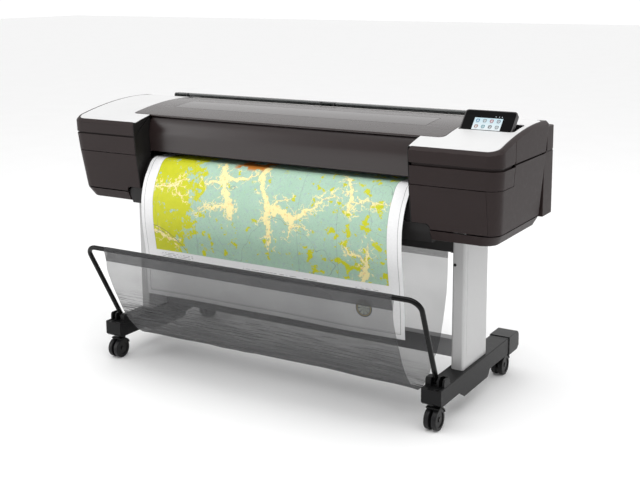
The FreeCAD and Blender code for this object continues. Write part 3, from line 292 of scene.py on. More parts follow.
def moulded(name, colour, roughness, grain=0.0011, depth=0.00012, dust=0.3, rim=0.5,
            lift=1.10, specular=0.5, metallic=0.0):
    """Moulded plastic or paint: mould grain, mottled colour, dust, rub marks, and paler rims that
    are partly wear and partly a painted highlight.
    """
    material, tree, shader = new_material(
        name, {"Specular IOR Level": specular, "Metallic": metallic})
    texture = place_group(tree, grain_group, {"Grain": grain})
    use_and_highlight = place_group(tree, use_and_highlight_group, {"Dust": dust, "Rim Wear And Highlight": rim})
    lighter = tuple(min(1.0, c * lift) for c in colour)
    pale = tuple(min(1.0, c * 1.6 + 0.012) for c in colour)
    base = mix_colour(remap(texture.outputs["Mottle"], 0.3, 0.7), colour, lighter)
    # Rims turn paler: partly wear, partly a painted highlight.
    base = mix_colour(use_and_highlight.outputs["Rim Wear And Highlight"], base, pale)
    base = mix_colour(times(use_and_highlight.outputs["Dust"], 0.025), base, (0.42, 0.40, 0.37))
    rough = plus(remap(use_and_highlight.outputs["Rub"], 0.0, 1.0, roughness, roughness * 0.94),
                 times(use_and_highlight.outputs["Dust"], 0.05))
    feed(shader, {"Base Color": base, "Roughness": rough})
    bump(shader, texture.outputs["Height"], depth, 0.6)
    return material


def merged(name):
    """A CAD node, and its mesh as a bmesh with its doubles merged."""
    source = frame["nodes"][name]
    body = bmesh.new()
    body.from_mesh(source.data)
    bmesh.ops.remove_doubles(body, verts=body.verts, dist=2e-5)
    return source, body


def shaded(body, name, degrees):
    """A mesh from a bmesh, smooth across edges that turn less than some degrees."""
    for edge in body.edges:
        edge.smooth = (len(edge.link_faces) == 2
                       and edge.calc_face_angle(3.0) < math.radians(degrees))
    for face in body.faces:
        face.smooth = True
    mesh = bpy.data.meshes.new(name)
    body.to_mesh(mesh)
    body.free()
    return mesh


def smoothed(names, material):
    """Copies of CAD nodes whose curved faces shade smoothly, which stand for the nodes."""
    for name in names:
        source, body = merged(name)
        mesh = shaded(body, name + "_smooth", 34)
        mesh.materials.clear()
        mesh.materials.append(material)
        piece = new_object(name + "_smooth", mesh)
        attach(piece, source["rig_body"])
        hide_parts(name)


CORNERS = [f"{end}_{side}" for end in ("front", "rear") for side in ("left", "right")]
nylon = moulded("caster_nylon", (0.008, 0.008, 0.008), 0.38, dust=0.2, specular=0.22)
smoothed([f"caster_fork_{corner}" for corner in CORNERS], nylon)

tread_rubber, tree, shader = new_material("wheel_rubber", {"Specular IOR Level": 0.25})
texture = place_group(tree, grain_group, {"Grain": 0.0007})
use_and_highlight = place_group(tree, use_and_highlight_group, {"Dust": 0.5, "Rim Wear And Highlight": 0.0})
feed(shader, {
    "Base Color": mix_colour(use_and_highlight.outputs["Rub"], (0.008, 0.008, 0.009), (0.018, 0.017, 0.016)),
    "Roughness": remap(texture.outputs["Mottle"], 0.3, 0.7, 0.32, 0.5)})
bump(shader, texture.outputs["Height"], 0.0001, 0.5)
smoothed([f"caster_wheels_{corner}" for corner in CORNERS], tread_rubber)

# ---- Feet and their caps --------
# Two long pressed feet, powder-coated black, with a moulded cap at the rear end and
# a moulded hump at the front end that holds the basket's arms in slots.
# Outer edges that turn more than SHARP are rounded over. MOST_PROUD is how far, in metres, a
# rounded point may stand out from the CAD skin before it is pulled back.
SHARP = math.radians(32)
MOST_PROUD = 4e-5


def keep_result(piece):
    """Puts the result of an object's modifiers in place of its mesh, and drops them."""
    result = bpy.data.meshes.new_from_object(
        piece.evaluated_get(bpy.context.evaluated_depsgraph_get()))
    piece.modifiers.clear()
    piece.data = result


def rounded(name, radius, material):
    """A copy of a CAD node whose sharp edges are rounded over, which stands for the node."""
    source, body = merged(name)
    bmesh.ops.dissolve_limit(body, angle_limit=math.radians(0.4),
                             verts=body.verts, edges=body.edges)
    skin = BVHTree.FromBMesh(body)
    sharp = [e for e in body.edges
             if len(e.link_faces) == 2 and e.is_convex
             and e.calc_face_angle(0.0) > SHARP and e.calc_length() > radius * 0.9]
    # Bevel faces get the rim attribute; materials paint them paler, partly as wear and partly as
    # a painted highlight.
    rim_layer = body.faces.layers.float.new("rim")
    made = bmesh.ops.bevel(body, geom=sharp, offset=radius, segments=2, profile=0.5,
                           affect="EDGES", clamp_overlap=False, offset_type="OFFSET")
    for face in made["faces"]:
        face[rim_layer] = 1.0
    for vert in body.verts:
        near, normal, _, distance = skin.find_nearest(vert.co)
        proud = (vert.co - near).dot(normal)
        if distance > radius * 0.9 or proud > MOST_PROUD:
            vert.co = near
    mesh = shaded(body, name + "_rounded", 48)
    mesh.materials.append(material)
    piece = new_object(name + "_rounded", mesh)
    weighted = piece.modifiers.new("weighted", "WEIGHTED_NORMAL")
    weighted.keep_sharp = True
    keep_result(piece)
    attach(piece, source["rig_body"])
    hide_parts(name)
    return piece


powder_black = moulded("foot_powder_coat", (0.0060, 0.0060, 0.0064), 0.38, grain=0.0016,
                       depth=0.0002, specular=0.16)
rounded("feet", 0.0016, powder_black)
cap_plastic = moulded("cap_plastic", (0.012, 0.012, 0.012), 0.4, dust=0.2, specular=0.25)
rounded("foot_caps", 0.0018, cap_plastic)

# ---- Legs and cross members --------
# Each leg is a silver-painted steel box with a front strip of the same paint clipped over
# it. A dark crossbeam ties the feet and a black top bar ties the legs.


def painted_metal(name, colour, roughness, flake=0.12, metallic=0.0):
    """Satin metallic paint: fine flake in the colour, slight orange peel in the surface."""
    material, tree, shader = new_material(name, {"Metallic": metallic})
    texture = place_group(tree, grain_group, {"Grain": 0.0006})
    peel = place_group(tree, grain_group, {"Grain": 0.004})
    use_and_highlight = place_group(tree, use_and_highlight_group, {"Dust": 0.35, "Rim Wear And Highlight": 0.45})
    dark = tuple(c * (1.0 - flake * 0.35) for c in colour)
    pale = tuple(min(1.0, c * 1.25 + 0.05) for c in colour)
    base = mix_colour(remap(texture.outputs["Height"], 0.35, 0.65), dark, colour)
    base = mix_colour(times(texture.outputs["Mottle"], 0.04), base, (0.95, 0.95, 0.95))
    # Rims turn paler: partly wear, partly a painted highlight.
    base = mix_colour(times(use_and_highlight.outputs["Rim Wear And Highlight"], 0.5), base, pale)
    base = mix_colour(times(use_and_highlight.outputs["Dust"], 0.2), base, (0.40, 0.38, 0.35))
    feed(shader, {"Base Color": base, "Roughness": remap(use_and_highlight.outputs["Rub"], 0.0, 1.0,
                                                         roughness, roughness * 0.85)})
    bump(shader, peel.outputs["Height"], 0.00015, 0.5)
    return material


silver_paint = painted_metal("silver_paint", (0.52, 0.52, 0.52), 0.36, metallic=0.15)
rounded("columns", 0.0014, silver_paint)
rounded("column_fronts", 0.0016, silver_paint)
beam_paint = painted_metal("crossbeam_paint", (0.32, 0.32, 0.325), 0.4)
rounded("stand_crossbeam", 0.002, beam_paint)
bar_paint = moulded("top_bar_paint", (0.011, 0.010, 0.010), 0.5, grain=0.0014, rim=0.4)
rounded("stand_top_bar", 0.0012, bar_paint)
screw_black = moulded("blackened_screw", (0.02, 0.02, 0.02), 0.35, grain=0.0005, rim=0.0,
                      metallic=0.6)
smoothed(["column_screws"], screw_black)

# ---- Basket frame --------
# One bent steel tube, gloss black powder coat, whose arms turn in the slots of the feet.
# A straight rod under the machine holds the back edge of the fabric.
tube_coat, tree, shader = new_material("tube_gloss_coat", {"Specular IOR Level": 0.16})
texture = place_group(tree, grain_group, {"Grain": 0.003})
use_and_highlight = place_group(tree, use_and_highlight_group, {"Dust": 0.4, "Rim Wear And Highlight": 0.0})
feed(shader, {
    "Base Color": mix_colour(use_and_highlight.outputs["Rub"], (0.003, 0.003, 0.003), (0.007, 0.007, 0.007)),
    "Roughness": remap(texture.outputs["Mottle"], 0.3, 0.7, 0.10, 0.16)})
bump(shader, texture.outputs["Height"], 0.0001, 0.4)
smoothed(["basket_frame", "basket_rear_rod"], tube_coat)

# ---- Basket fabric --------
# A sling of fine grey polyester mesh. Each end is folded into a sleeve, sewn shut and slid
# over the front tube or the rear rod. The fabric hangs in a deep belly between the two.
FABRIC_HALF = 0.608
BAR_CENTRE, SLEEVE_R = Vector((-0.405, 0.482)), 0.0098
ROD_CENTRE, ROD_SLEEVE_R = Vector((0.020, 0.541)), 0.0056
BELLY = [(-0.4035, 0.438), (-0.3998, 0.402), (-0.380, 0.350), (-0.355, 0.296), (-0.303, 0.198),
         (-0.240, 0.1265), (-0.205, 0.1065), (-0.170, 0.1025), (-0.118, 0.130), (-0.076, 0.171),
         (-0.032, 0.232), (0.007, 0.365), (0.0165, 0.440), (0.0188, 0.511)]
front_sleeve = [(-0.4045, 0.4375), (-0.4085, 0.455)]
front_sleeve += [(BAR_CENTRE.x - SLEEVE_R * math.cos(a), BAR_CENTRE.y + SLEEVE_R * math.sin(a))
                 for a in np.linspace(math.radians(-20), math.radians(205), 14)]
front_sleeve += [(-0.4010, 0.456)]
rear_sleeve = [(0.0175, 0.527)]
rear_sleeve += [(ROD_CENTRE.x - ROD_SLEEVE_R * math.cos(a),
                 ROD_CENTRE.y + ROD_SLEEVE_R * math.sin(a))
                for a in np.linspace(math.radians(-25), math.radians(205), 12)]
rear_sleeve += [(0.0215, 0.527), (0.0196, 0.512)]


def smooth_path(points, spacing):
    """Points at even steps along a Catmull-Rom curve through the given ones."""
    p = np.array(points, float)
    p = np.vstack([2 * p[0] - p[1], p, 2 * p[-1] - p[-2]])
    dense = []
    for i in range(1, len(p) - 2):
        for t in np.linspace(0, 1, 24, endpoint=False):
            dense.append(0.5 * (2 * p[i] + (p[i + 1] - p[i - 1]) * t
                                + (2 * p[i - 1] - 5 * p[i] + 4 * p[i + 1] - p[i + 2]) * t ** 2
                                + (3 * p[i] - p[i - 1] - 3 * p[i + 1] + p[i + 2]) * t ** 3))
    dense.append(p[-2])
    dense = np.array(dense)
    run = np.concatenate([[0], np.cumsum(np.linalg.norm(np.diff(dense, axis=0), axis=1))])
    count = max(2, int(round(run[-1] / spacing)) + 1)
    steps = np.linspace(0, run[-1], count)
    return np.stack([np.interp(steps, run, dense[:, k]) for k in (0, 1)], axis=1)


belly = smooth_path(BELLY, 0.0058)
profile = np.vstack([front_sleeve, belly, rear_sleeve])
along = np.concatenate([[0], np.cumsum(np.linalg.norm(np.diff(profile, axis=0), axis=1))])
belly_start, belly_end = len(front_sleeve), len(front_sleeve) + len(belly) - 1

COLUMNS = 150
across = np.linspace(-FABRIC_HALF, FABRIC_HALF, COLUMNS)
tangent = np.gradient(profile, axis=0)
tangent /= np.maximum(np.linalg.norm(tangent, axis=1, keepdims=True), 1e-9)
outward = np.stack([-tangent[:, 1], tangent[:, 0]], axis=1)
share = np.clip((along - along[belly_start]) / (along[belly_end] - along[belly_start]), 0, 1)
random = np.random.default_rng(17)
u, s = np.meshgrid(across, along)
crease = np.zeros_like(u)
for _ in range(34):
    pitch = random.uniform(0.018, 0.060)
    lean = random.uniform(-0.05, 0.05)
    drift = random.uniform(0.010, 0.028)
    wander = drift * np.sin(u * random.uniform(3.0, 11.0) + random.uniform(0, 6.28))
    patch = np.exp(-((u - random.uniform(-0.55, 0.55)) / random.uniform(0.10, 0.35)) ** 2)
    crease += patch * pitch * np.sin((s + lean * u + wander) * 6.283 / pitch
                                     + random.uniform(0, 6.28))
bend = np.exp(-((share - 0.60) / 0.20) ** 2)[:, None]
held = (np.sin(np.pi * share) ** 0.8)[:, None]
crease *= 0.034 * bend * held
slack = 0.0045 * np.sin(u * 5.1 + 0.7) * np.sin(np.pi * share)[:, None] ** 2
gather = 0.006 * np.exp(-((FABRIC_HALF - np.abs(u)) / 0.05)) * np.sin(np.pi * share)[:, None]
offset = np.clip(crease + slack * 0.6 - gather * 0.5, -0.008, 0.006)
grid = np.stack([u,
                 profile[:, 0][:, None] + outward[:, 0][:, None] * offset,
                 profile[:, 1][:, None] + outward[:, 1][:, None] * offset], axis=2)
pull = 0.006 * np.sin(np.pi * share)[:, None] ** 2 * np.sign(u) * np.exp(
    -((FABRIC_HALF - np.abs(u)) / 0.04))
grid[:, :, 0] -= pull


def grid_piece(name, points, uv_u, uv_v, material):
    """A sheet of quads over a grid of points, with a UV map in metres."""
    rows, columns = points.shape[:2]
    faces = [(r * columns + c, r * columns + c + 1, (r + 1) * columns + c + 1,
              (r + 1) * columns + c) for r in range(rows - 1) for c in range(columns - 1)]
    mesh = bpy.data.meshes.new(name)
    mesh.from_pydata(points.reshape(-1, 3).tolist(), [], faces)
    uv = mesh.uv_layers.new(name="cut")
    flat = np.stack([uv_u, uv_v], axis=2).reshape(-1, 2)
    index = np.array([loop.vertex_index for loop in mesh.loops])
    uv.data.foreach_set("uv", flat[index].ravel())
    mesh.polygons.foreach_set("use_smooth", [True] * len(mesh.polygons))
    mesh.materials.append(material)
    return new_object(name, mesh)


# The weave: crossed threads from the cut's own metres, as a height and an open-hole mask.
weave_group, given, made = shader_group(
    "open_weave", {"Pitch": 0.0012},
    {"Height": "NodeSocketFloat", "Hole": "NodeSocketFloat"})
cut = add_node(weave_group, "ShaderNodeUVMap", uv_map="cut").outputs[0]
turns = math_node("DIVIDE", 6.2832, given.outputs["Pitch"])
warp, weft = (math_node("ABSOLUTE", math_node("SINE", times(component(cut, axis), turns)))
              for axis in ("X", "Y"))
crossed = math_node("MAXIMUM", warp, weft)
feed(made, {"Height": crossed, "Hole": remap(crossed, 0.35, 0.75, 1.0, 0.0)})

net_cloth, tree, shader = new_material("basket_net", {"Roughness": 0.75,
                                                      "Sheen Weight": 0.15})
weave = place_group(tree, weave_group, {"Pitch": 0.0012})
texture = place_group(tree, grain_group, {"Grain": 0.012})
facing = add_node(tree, "ShaderNodeLayerWeight", {"Blend": 0.5}).outputs["Facing"]
cut = add_node(tree, "ShaderNodeUVMap", uv_map="cut").outputs[0]
run = component(cut, "Y")
folds = noise(stretch(cut, (7.0, 210.0, 1.0)), 1.0, Detail=4.0, Distortion=0.9)
creased = times(remap(run, 0.22, 0.36), remap(run, 0.52, 0.66, 1.0, 0.0))
folded = times(creased, remap(folds, 0.44, 0.58))
cover = plus(remap(weave.outputs["Hole"], 0.0, 1.0, 0.58, 0.38),
             times(math_node("POWER", facing, 3.0), 0.55))
for more in (times(folded, 0.36), remap(run, 0.082, 0.085, 0.22, 0.0),
             remap(texture.outputs["Mottle"], 0.3, 0.7, -0.03, 0.03)):
    cover = plus(cover, more)
feed(shader, {"Alpha": cover,
              "Base Color": mix_colour(texture.outputs["Mottle"], (0.030, 0.030, 0.032),
                                       (0.045, 0.045, 0.047))})
bump(shader, weave.outputs["Height"], 0.0003, 0.5)

basket_net = grid_piece("basket_net", grid, u, s, net_cloth)
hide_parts("basket_fabric")

# Lockstitch closes the sleeves: two rows at the front tube, one at the rear rod.
thread = moulded("sewing_thread", (0.03, 0.03, 0.03), 0.6, grain=0.0004, rim=0.0, dust=0.1)


def geometry_tree(name, inputs):
    """A Geometry Nodes tree with a geometry input and output and named value inputs."""
    tree = bpy.data.node_groups.new(name, "GeometryNodeTree")
    tree.interface.new_socket("Geometry", in_out="INPUT", socket_type="NodeSocketGeometry")
    for label, kind in inputs.items():
        tree.interface.new_socket(label, in_out="INPUT", socket_type=kind)
    tree.interface.new_socket("Geometry", in_out="OUTPUT", socket_type="NodeSocketGeometry")
    return tree, tree.nodes.new("NodeGroupInput"), tree.nodes.new("NodeGroupOutput")


def grown(name, base_mesh, tree, values):
    """Runs a Geometry Nodes tree over a base mesh and keeps the result as a plain mesh."""
    piece = new_object(name, base_mesh)
    modifier = piece.modifiers.new("grow", "NODES")
    modifier.node_group = tree
    sockets = {item.name: item.identifier for item in tree.interface.items_tree
               if item.item_type == "SOCKET" and item.in_out == "INPUT"}
    for label, value in values.items():
        modifier[sockets[label]] = value
    piece.update_tag()
    keep_result(piece)
    piece.data.name = name
    return piece


def repeated(tree, given, made, spots, shape, **turned):
    """Ends a tree: the shape on every spot, realised, in the tree's material."""
    spread = add_node(tree, "GeometryNodeInstanceOnPoints",
                      {0: spots, "Instance": shape.outputs[0], **turned})
    real = add_node(tree, "GeometryNodeRealizeInstances", {0: spread.outputs[0]})
    dyed = add_node(tree, "GeometryNodeSetMaterial",
                    {0: real.outputs[0], "Material": given.outputs["Material"]})
    feed(made, {0: dyed.outputs[0]})


stitch_tree, given, made = geometry_tree("stitch_row", {
    "Stitch": "NodeSocketFloat", "Pitch": "NodeSocketFloat", "Thread": "NodeSocketFloat",
    "Material": "NodeSocketMaterial"})
line = add_node(stitch_tree, "GeometryNodeMeshToCurve", {0: given.outputs["Geometry"]})
spots = add_node(stitch_tree, "GeometryNodeCurveToPoints",
                 {0: line.outputs[0], "Length": given.outputs["Pitch"]}, mode="LENGTH")
one = add_node(stitch_tree, "GeometryNodeMeshUVSphere",
               {"Segments": 6, "Rings": 4, "Radius": 0.5})
shape = add_node(stitch_tree, "ShaderNodeCombineXYZ",
                 {0: given.outputs["Thread"], 1: given.outputs["Thread"],
                  2: given.outputs["Stitch"]})
sized = add_node(stitch_tree, "GeometryNodeTransform",
                 {0: one.outputs[0], "Scale": shape.outputs[0]})
repeated(stitch_tree, given, made, spots.outputs[0], sized, Rotation=spots.outputs["Rotation"])


def edge_line(name, points):
    """A mesh of edges through points, for a tree to follow."""
    mesh = bpy.data.meshes.new(name)
    mesh.from_pydata(points, [(i, i + 1) for i in range(len(points) - 1)], [])
    return mesh


STITCH = {"Stitch": 0.0034, "Pitch": 0.0046, "Thread": 0.0007, "Material": thread}
for seam_name, row, shift, body in (("front_outer", grid[1], -0.0004, "basket"),
                                    ("front_inner", grid[0], -0.0004, "basket"),
                                    ("rear", grid[-1], 0.0004, "frame")):
    line = [(p[0], p[1] + shift, p[2]) for p in row[1:-1].tolist()]
    seam = grown(f"basket_seam_{seam_name}", edge_line(f"seam_{seam_name}", line), stitch_tree,
                 STITCH)
    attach(seam, body)

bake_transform(basket_net)

# ---- Housing mouldings --------
# Injection-moulded shells in a warm dark grey-brown, snapped over the frame in three bands
# with a shadow gap between: lower shell, middle band, top shell. A chin closes each end below.
BODY_BROWN = (0.0205, 0.0128, 0.0125)
body_plastic = moulded("body_brown_plastic", BODY_BROWN, 0.5, depth=0.00014, specular=0.22)
for name, radius in (("lower_shells", 0.0008), ("mid_bands", 0.0014), ("top_shells", 0.0016),
                     ("chins", 0.0009), ("rear_ends", 0.0018), ("ink_door_left", 0.0005),
                     ("ink_door_right", 0.0005)):
    rounded(name, radius, body_plastic)
trim_black = moulded("black_trim_plastic", (0.0085, 0.0075, 0.0075), 0.5, rim=0.25, specular=0.3)
for name, radius in (("lower_apron", 0.0015), ("inner_cheeks", 0.0012), ("output_guide", 0.001)):
    rounded(name, radius, trim_black)

# ---- White top panels and the ridge strip --------
# Two pale panels inlaid in the end caps, in a smooth satin plastic, and a lighter grey strip
# along the lid's back edge.
white_plastic = moulded("white_panel_plastic", (0.60, 0.60, 0.60), 0.34, depth=0.00004,
                        dust=0.1, rim=0.1, lift=1.05)
rounded("top_panels", 0.0012, white_plastic)
ridge_plastic = moulded("ridge_plastic", (0.42, 0.41, 0.40), 0.3, depth=0.00005, dust=0.15,
                        rim=0.2, lift=1.08)
rounded("ridge_strip", 0.0012, ridge_plastic)

# ---- Lid and its window --------
# A one-piece hinged lid in the body's brown, polished smoother than the shells, with a
# glossier inlaid window along the middle.
lid_plastic = moulded("lid_brown_plastic", (0.030, 0.0215, 0.021), 0.27, depth=0.00005,
                      dust=0.15, rim=0.3)
rounded("lid", 0.0016, lid_plastic)
cover_plastic = moulded("front_cover_plastic", BODY_BROWN, 0.3, depth=0.00007, dust=0.1,
                        rim=0.4, specular=0.6)
rounded("front_cover", 0.0016, cover_plastic)
window_plastic = moulded("window_plastic", (0.032, 0.024, 0.0235), 0.17, depth=0.00002,
                         dust=0.1, rim=0.2, specular=0.55)
rounded("lid_window", 0.0006, window_plastic)

# ---- Roll cover --------
# A long half-round shell of smoked, see-through acrylic over the media roll, carried by
# black moulded brackets and hinge eyes.
smoked, tree, shader = new_material("smoked_acrylic", {"Specular IOR Level": 0.10})
texture = place_group(tree, grain_group, {"Grain": 0.004})
use_and_highlight = place_group(tree, use_and_highlight_group, {"Dust": 0.5, "Rim Wear And Highlight": 0.0})
feed(shader, {
    "Base Color": mix_colour(times(use_and_highlight.outputs["Dust"], 0.3), (0.016, 0.020, 0.019),
                             (0.20, 0.20, 0.19)),
    "Alpha": remap(texture.outputs["Mottle"], 0.3, 0.7, 0.80, 0.86),
    "Roughness": remap(use_and_highlight.outputs["Rub"], 0.0, 1.0, 0.10, 0.18)})
smoothed(["roll_cover"], smoked)
hinge_black = moulded("bracket_plastic", (0.010, 0.010, 0.010), 0.4, rim=0.4)
rounded("roll_cover_brackets", 0.001, hinge_black)

# ---- Print engine --------
# Everything under the lid: plated steel frame and beams, ground guide rails, the carriage
# with its heads, the drive belt, the platen, and the rollers.


def finish_nodes(names, material):
    """Gives CAD nodes that keep their own mesh a material on every slot."""
    for name in names:
        mesh = frame["nodes"][name].data
        mesh.materials.clear()
        mesh.materials.append(material)


def bare_metal(name, colour, roughness):
    """Plated or ground metal with a drawn grain along the machine."""
    material, tree, shader = new_material(name, {"Metallic": 1.0})
    lines = noise(stretch(object_coords(tree), (2.0, 60.0, 60.0)), 8.0, Detail=5.0)
    texture = place_group(tree, grain_group, {"Grain": 0.03})
    base = mix_colour(lines, tuple(c * 0.8 for c in colour), colour)
    base = mix_colour(remap(texture.outputs["Height"], 0.4, 0.7, 0.0, 0.25), base,
                      tuple(c * 1.1 for c in colour))
    feed(shader, {"Base Color": base,
                  "Roughness": remap(lines, 0.3, 0.7, roughness * 0.8, roughness * 1.25)})
    bump(shader, lines, 0.00005, 0.5)
    return material


zinc = bare_metal("zinc_plate", (0.46, 0.47, 0.49), 0.38)
ground_steel = bare_metal("ground_steel", (0.60, 0.60, 0.61), 0.2)
engine_black = moulded("engine_plastic", (0.013, 0.013, 0.014), 0.45, rim=0.3, dust=0.2)
carriage_blue_grey = moulded("carriage_plastic", (0.045, 0.050, 0.058), 0.38, rim=0.3)
platen_grey = moulded("platen_plastic", (0.030, 0.030, 0.032), 0.4, rim=0.2, dust=0.2)
roller_rubber = moulded("roller_rubber", (0.020, 0.020, 0.021), 0.65, grain=0.0006, rim=0.0)
belt_rubber = moulded("belt_rubber", (0.022, 0.021, 0.020), 0.6, grain=0.0008, rim=0.0)
ink_plastic = moulded("ink_cartridge_plastic", (0.022, 0.022, 0.024), 0.35, rim=0.3)
finish_nodes(["chassis_frame", "rear_beam", "carriage_beam"], zinc)
finish_nodes(["guide_rails"], ground_steel)
finish_nodes(["service_station", "cartridge_bays", "carriage_drive", "printheads"], engine_black)
finish_nodes(["drive_belt"], belt_rubber)
smoothed(["cover_hinges"], zinc)
smoothed(["spindle"], ground_steel)
smoothed(["feed_roller", "pinch_rollers"], roller_rubber)
rounded("carriage", 0.0014, carriage_blue_grey)
rounded("cutter", 0.0008, engine_black)
rounded("platen", 0.0008, platen_grey)
rounded("ink_cartridges", 0.0015, ink_plastic)

# Vacuum holes in the platen: one near-black dimple on every point of a ruled grid, painted shade
# that stands for the dark inside of each hole.
hole_painted_shade = moulded("vacuum_hole_painted_shade", (0.003, 0.003, 0.003), 0.8, grain=0.0005, rim=0.0,
                     dust=0.0)
hole_tree, given, made = geometry_tree("vacuum_holes", {
    "Radius": "NodeSocketFloat", "Depth": "NodeSocketFloat", "Material": "NodeSocketMaterial"})
dimple = add_node(hole_tree, "GeometryNodeMeshCylinder",
                  {"Vertices": 12, "Radius": given.outputs["Radius"],
                   "Depth": given.outputs["Depth"]})
repeated(hole_tree, given, made, given.outputs["Geometry"], dimple)
PLATEN_TOP = max(v.co.z for v in frame["nodes"]["platen"].data.vertices)
HOLE_ROWS, HOLES_IN_ROW, HOLE_STEP = (-0.135, -0.110, -0.085, 0.000), 91, 0.012
hole_spots = bpy.data.meshes.new("vacuum_hole_spots")
hole_spots.from_pydata([(-0.54 + HOLE_STEP * column, y, PLATEN_TOP - 0.0004)
                        for column in range(HOLES_IN_ROW) for y in HOLE_ROWS], [], [])
holes = grown("platen_vacuum_holes", hole_spots, hole_tree,
              {"Radius": 0.0012, "Depth": 0.001, "Material": hole_painted_shade})
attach(holes, "frame")

# ---- Media roll and the sheet being printed --------
# A full roll of coated paper on its spindle. The web comes off the underside of the roll,
# passes the rollers over the platen, and hangs down in front into the basket.
roll_paper, tree, shader = new_material("roll_paper", {})
layers = noise(stretch(object_coords(tree), (400.0, 6.0, 6.0)), 1.0, Detail=3.0)
feed(shader, {"Base Color": mix_colour(layers, (0.74, 0.74, 0.73), (0.84, 0.84, 0.83)),
              "Roughness": remap(layers, 0.3, 0.7, 0.55, 0.7)})
smoothed(["media_roll"], roll_paper)

MEDIA_HALF = 0.559
WEB_FRONT = [(-0.2185, 0.2725), (-0.2215, 0.300), (-0.224, 0.360), (-0.228, 0.405),
             (-0.231, 0.450), (-0.2385, 0.500), (-0.2455, 0.545), (-0.2495, 0.600),
             (-0.2475, 0.655), (-0.237, 0.700), (-0.2215, 0.737), (-0.203, 0.765),
             (-0.188, 0.7865), (-0.172, 0.7995), (-0.160, 0.8035), (-0.150, 0.8053)]
WEB_BACK = [(-0.149, 0.80535), (0.084, 0.8053), (0.120, 0.8063), (0.180, 0.8115),
            (0.220, 0.8165), (0.246, 0.8199)]
web_profile = np.vstack([smooth_path(WEB_FRONT, 0.006), np.array(WEB_BACK)])
web_along = np.concatenate(
    [[0], np.cumsum(np.linalg.norm(np.diff(web_profile, axis=0), axis=1))])
web_across = np.linspace(-MEDIA_HALF, MEDIA_HALF, 72)
web_u, web_s = np.meshgrid(web_across, web_along)
loose = np.clip(1.0 - web_s / 0.48, 0, 1) ** 1.5
wave = loose * (0.0035 * np.cos(web_u * 7.3 + 0.9) + 0.0025 * np.sin(web_u * 13.7 + web_s * 4.0))
web_points = np.stack([web_u, web_profile[:, 0][:, None] + wave,
                       np.repeat(web_profile[:, 1][:, None], len(web_across), axis=1)], axis=2)

printed, tree, shader = new_material("printed_paper", {"Specular IOR Level": 0.35})
cut = add_node(tree, "ShaderNodeUVMap", uv_map="cut").outputs[0]
pu, pv = component(cut, "X"), component(cut, "Y")
half_u = math_node("ABSOLUTE", pu)


def print_noise(scale, detail=3.0, shift=0.0, rough=0.5):
    """Noise over the cut sheet, at a scale in cycles per metre."""
    moved = add_node(tree, "ShaderNodeMapping",
                     {"Vector": cut, "Location": (shift, shift * 0.7, shift * 0.3)}).outputs[0]
    return noise(moved, scale, Detail=detail, Roughness=rough)


def band(value, centre, half, soft):
    """A mask that is 1 where value is within half of centre."""
    off = math_node("ABSOLUTE", math_node("SUBTRACT", value, centre))
    return remap(off, half, half + soft, 1.0, 0.0)


def either(first, second):
    return math_node("MAXIMUM", first, second)


# Fields: a sage green ground under fine contour lines, with yellow-green woods: one large
# ragged wood on the left and scattered copses, thicker to the right.
ground = mix_colour(print_noise(16.0, 5.0), (0.36, 0.57, 0.42), (0.46, 0.65, 0.52))
contour = math_node("ABSOLUTE", math_node("SINE", times(print_noise(9.0, 6.0, 3.1), 130.0)))
ground = mix_colour(remap(contour, 0.0, 0.4, 0.45, 0.0), ground, (0.28, 0.30, 0.30))
ground = mix_colour(remap(print_noise(70.0, 3.0, 8.0), 0.54, 0.66, 0.0, 0.40), ground,
                    (0.36, 0.44, 0.50))
ragged = times(math_node("SUBTRACT", print_noise(15.0, 8.0, 5.0, 0.72), 0.5), 0.62)
wood_limit = remap(pv, 0.23, 0.34, -0.39, -0.305)
wood = remap(math_node("SUBTRACT", plus(pu, ragged), wood_limit), -0.002, 0.002, 1.0, 0.0)
clearing = remap(print_noise(38.0, 6.0, 12.0, 0.68), 0.605, 0.615, 1.0, 0.0)
copse_bias = plus(remap(pu, 0.0, 0.5, 0.0, 0.060), remap(pv, 0.20, 0.42, 0.035, 0.0))
copse = remap(plus(print_noise(27.0, 6.0, 21.0, 0.64), copse_bias), 0.628, 0.636)
wood = either(times(wood, clearing), copse)
wood_tint = mix_colour(print_noise(45.0, 3.0, 2.0), (0.52, 0.56, 0.008), (0.66, 0.66, 0.020))
field = mix_colour(wood, ground, wood_tint)


def valley_reach(start, end, start_half, end_half):
    """How far the bent map point lies outside a tapering valley between two points."""
    way = (end[0] - start[0], end[1] - start[1], 0.0)
    span = way[0] ** 2 + way[1] ** 2
    away = add_node(tree, "ShaderNodeVectorMath", {0: bent, 1: (*start, 0.0)},
                    operation="SUBTRACT").outputs[0]
    share = add_node(tree, "ShaderNodeVectorMath",
                     {0: away, 1: tuple(c / span for c in way)},
                     operation="DOT_PRODUCT").outputs["Value"]
    share = add_node(tree, "ShaderNodeClamp", {0: share}).outputs[0]
    foot = add_node(tree, "ShaderNodeVectorMath", {0: way, "Scale": share},
                    operation="SCALE").outputs[0]
    gap = add_node(tree, "ShaderNodeVectorMath", {0: away, 1: foot},
                   operation="DISTANCE").outputs["Value"]
    half = math_node("MULTIPLY_ADD", share, end_half - start_half, start_half)
    return math_node("SUBTRACT", gap, half)


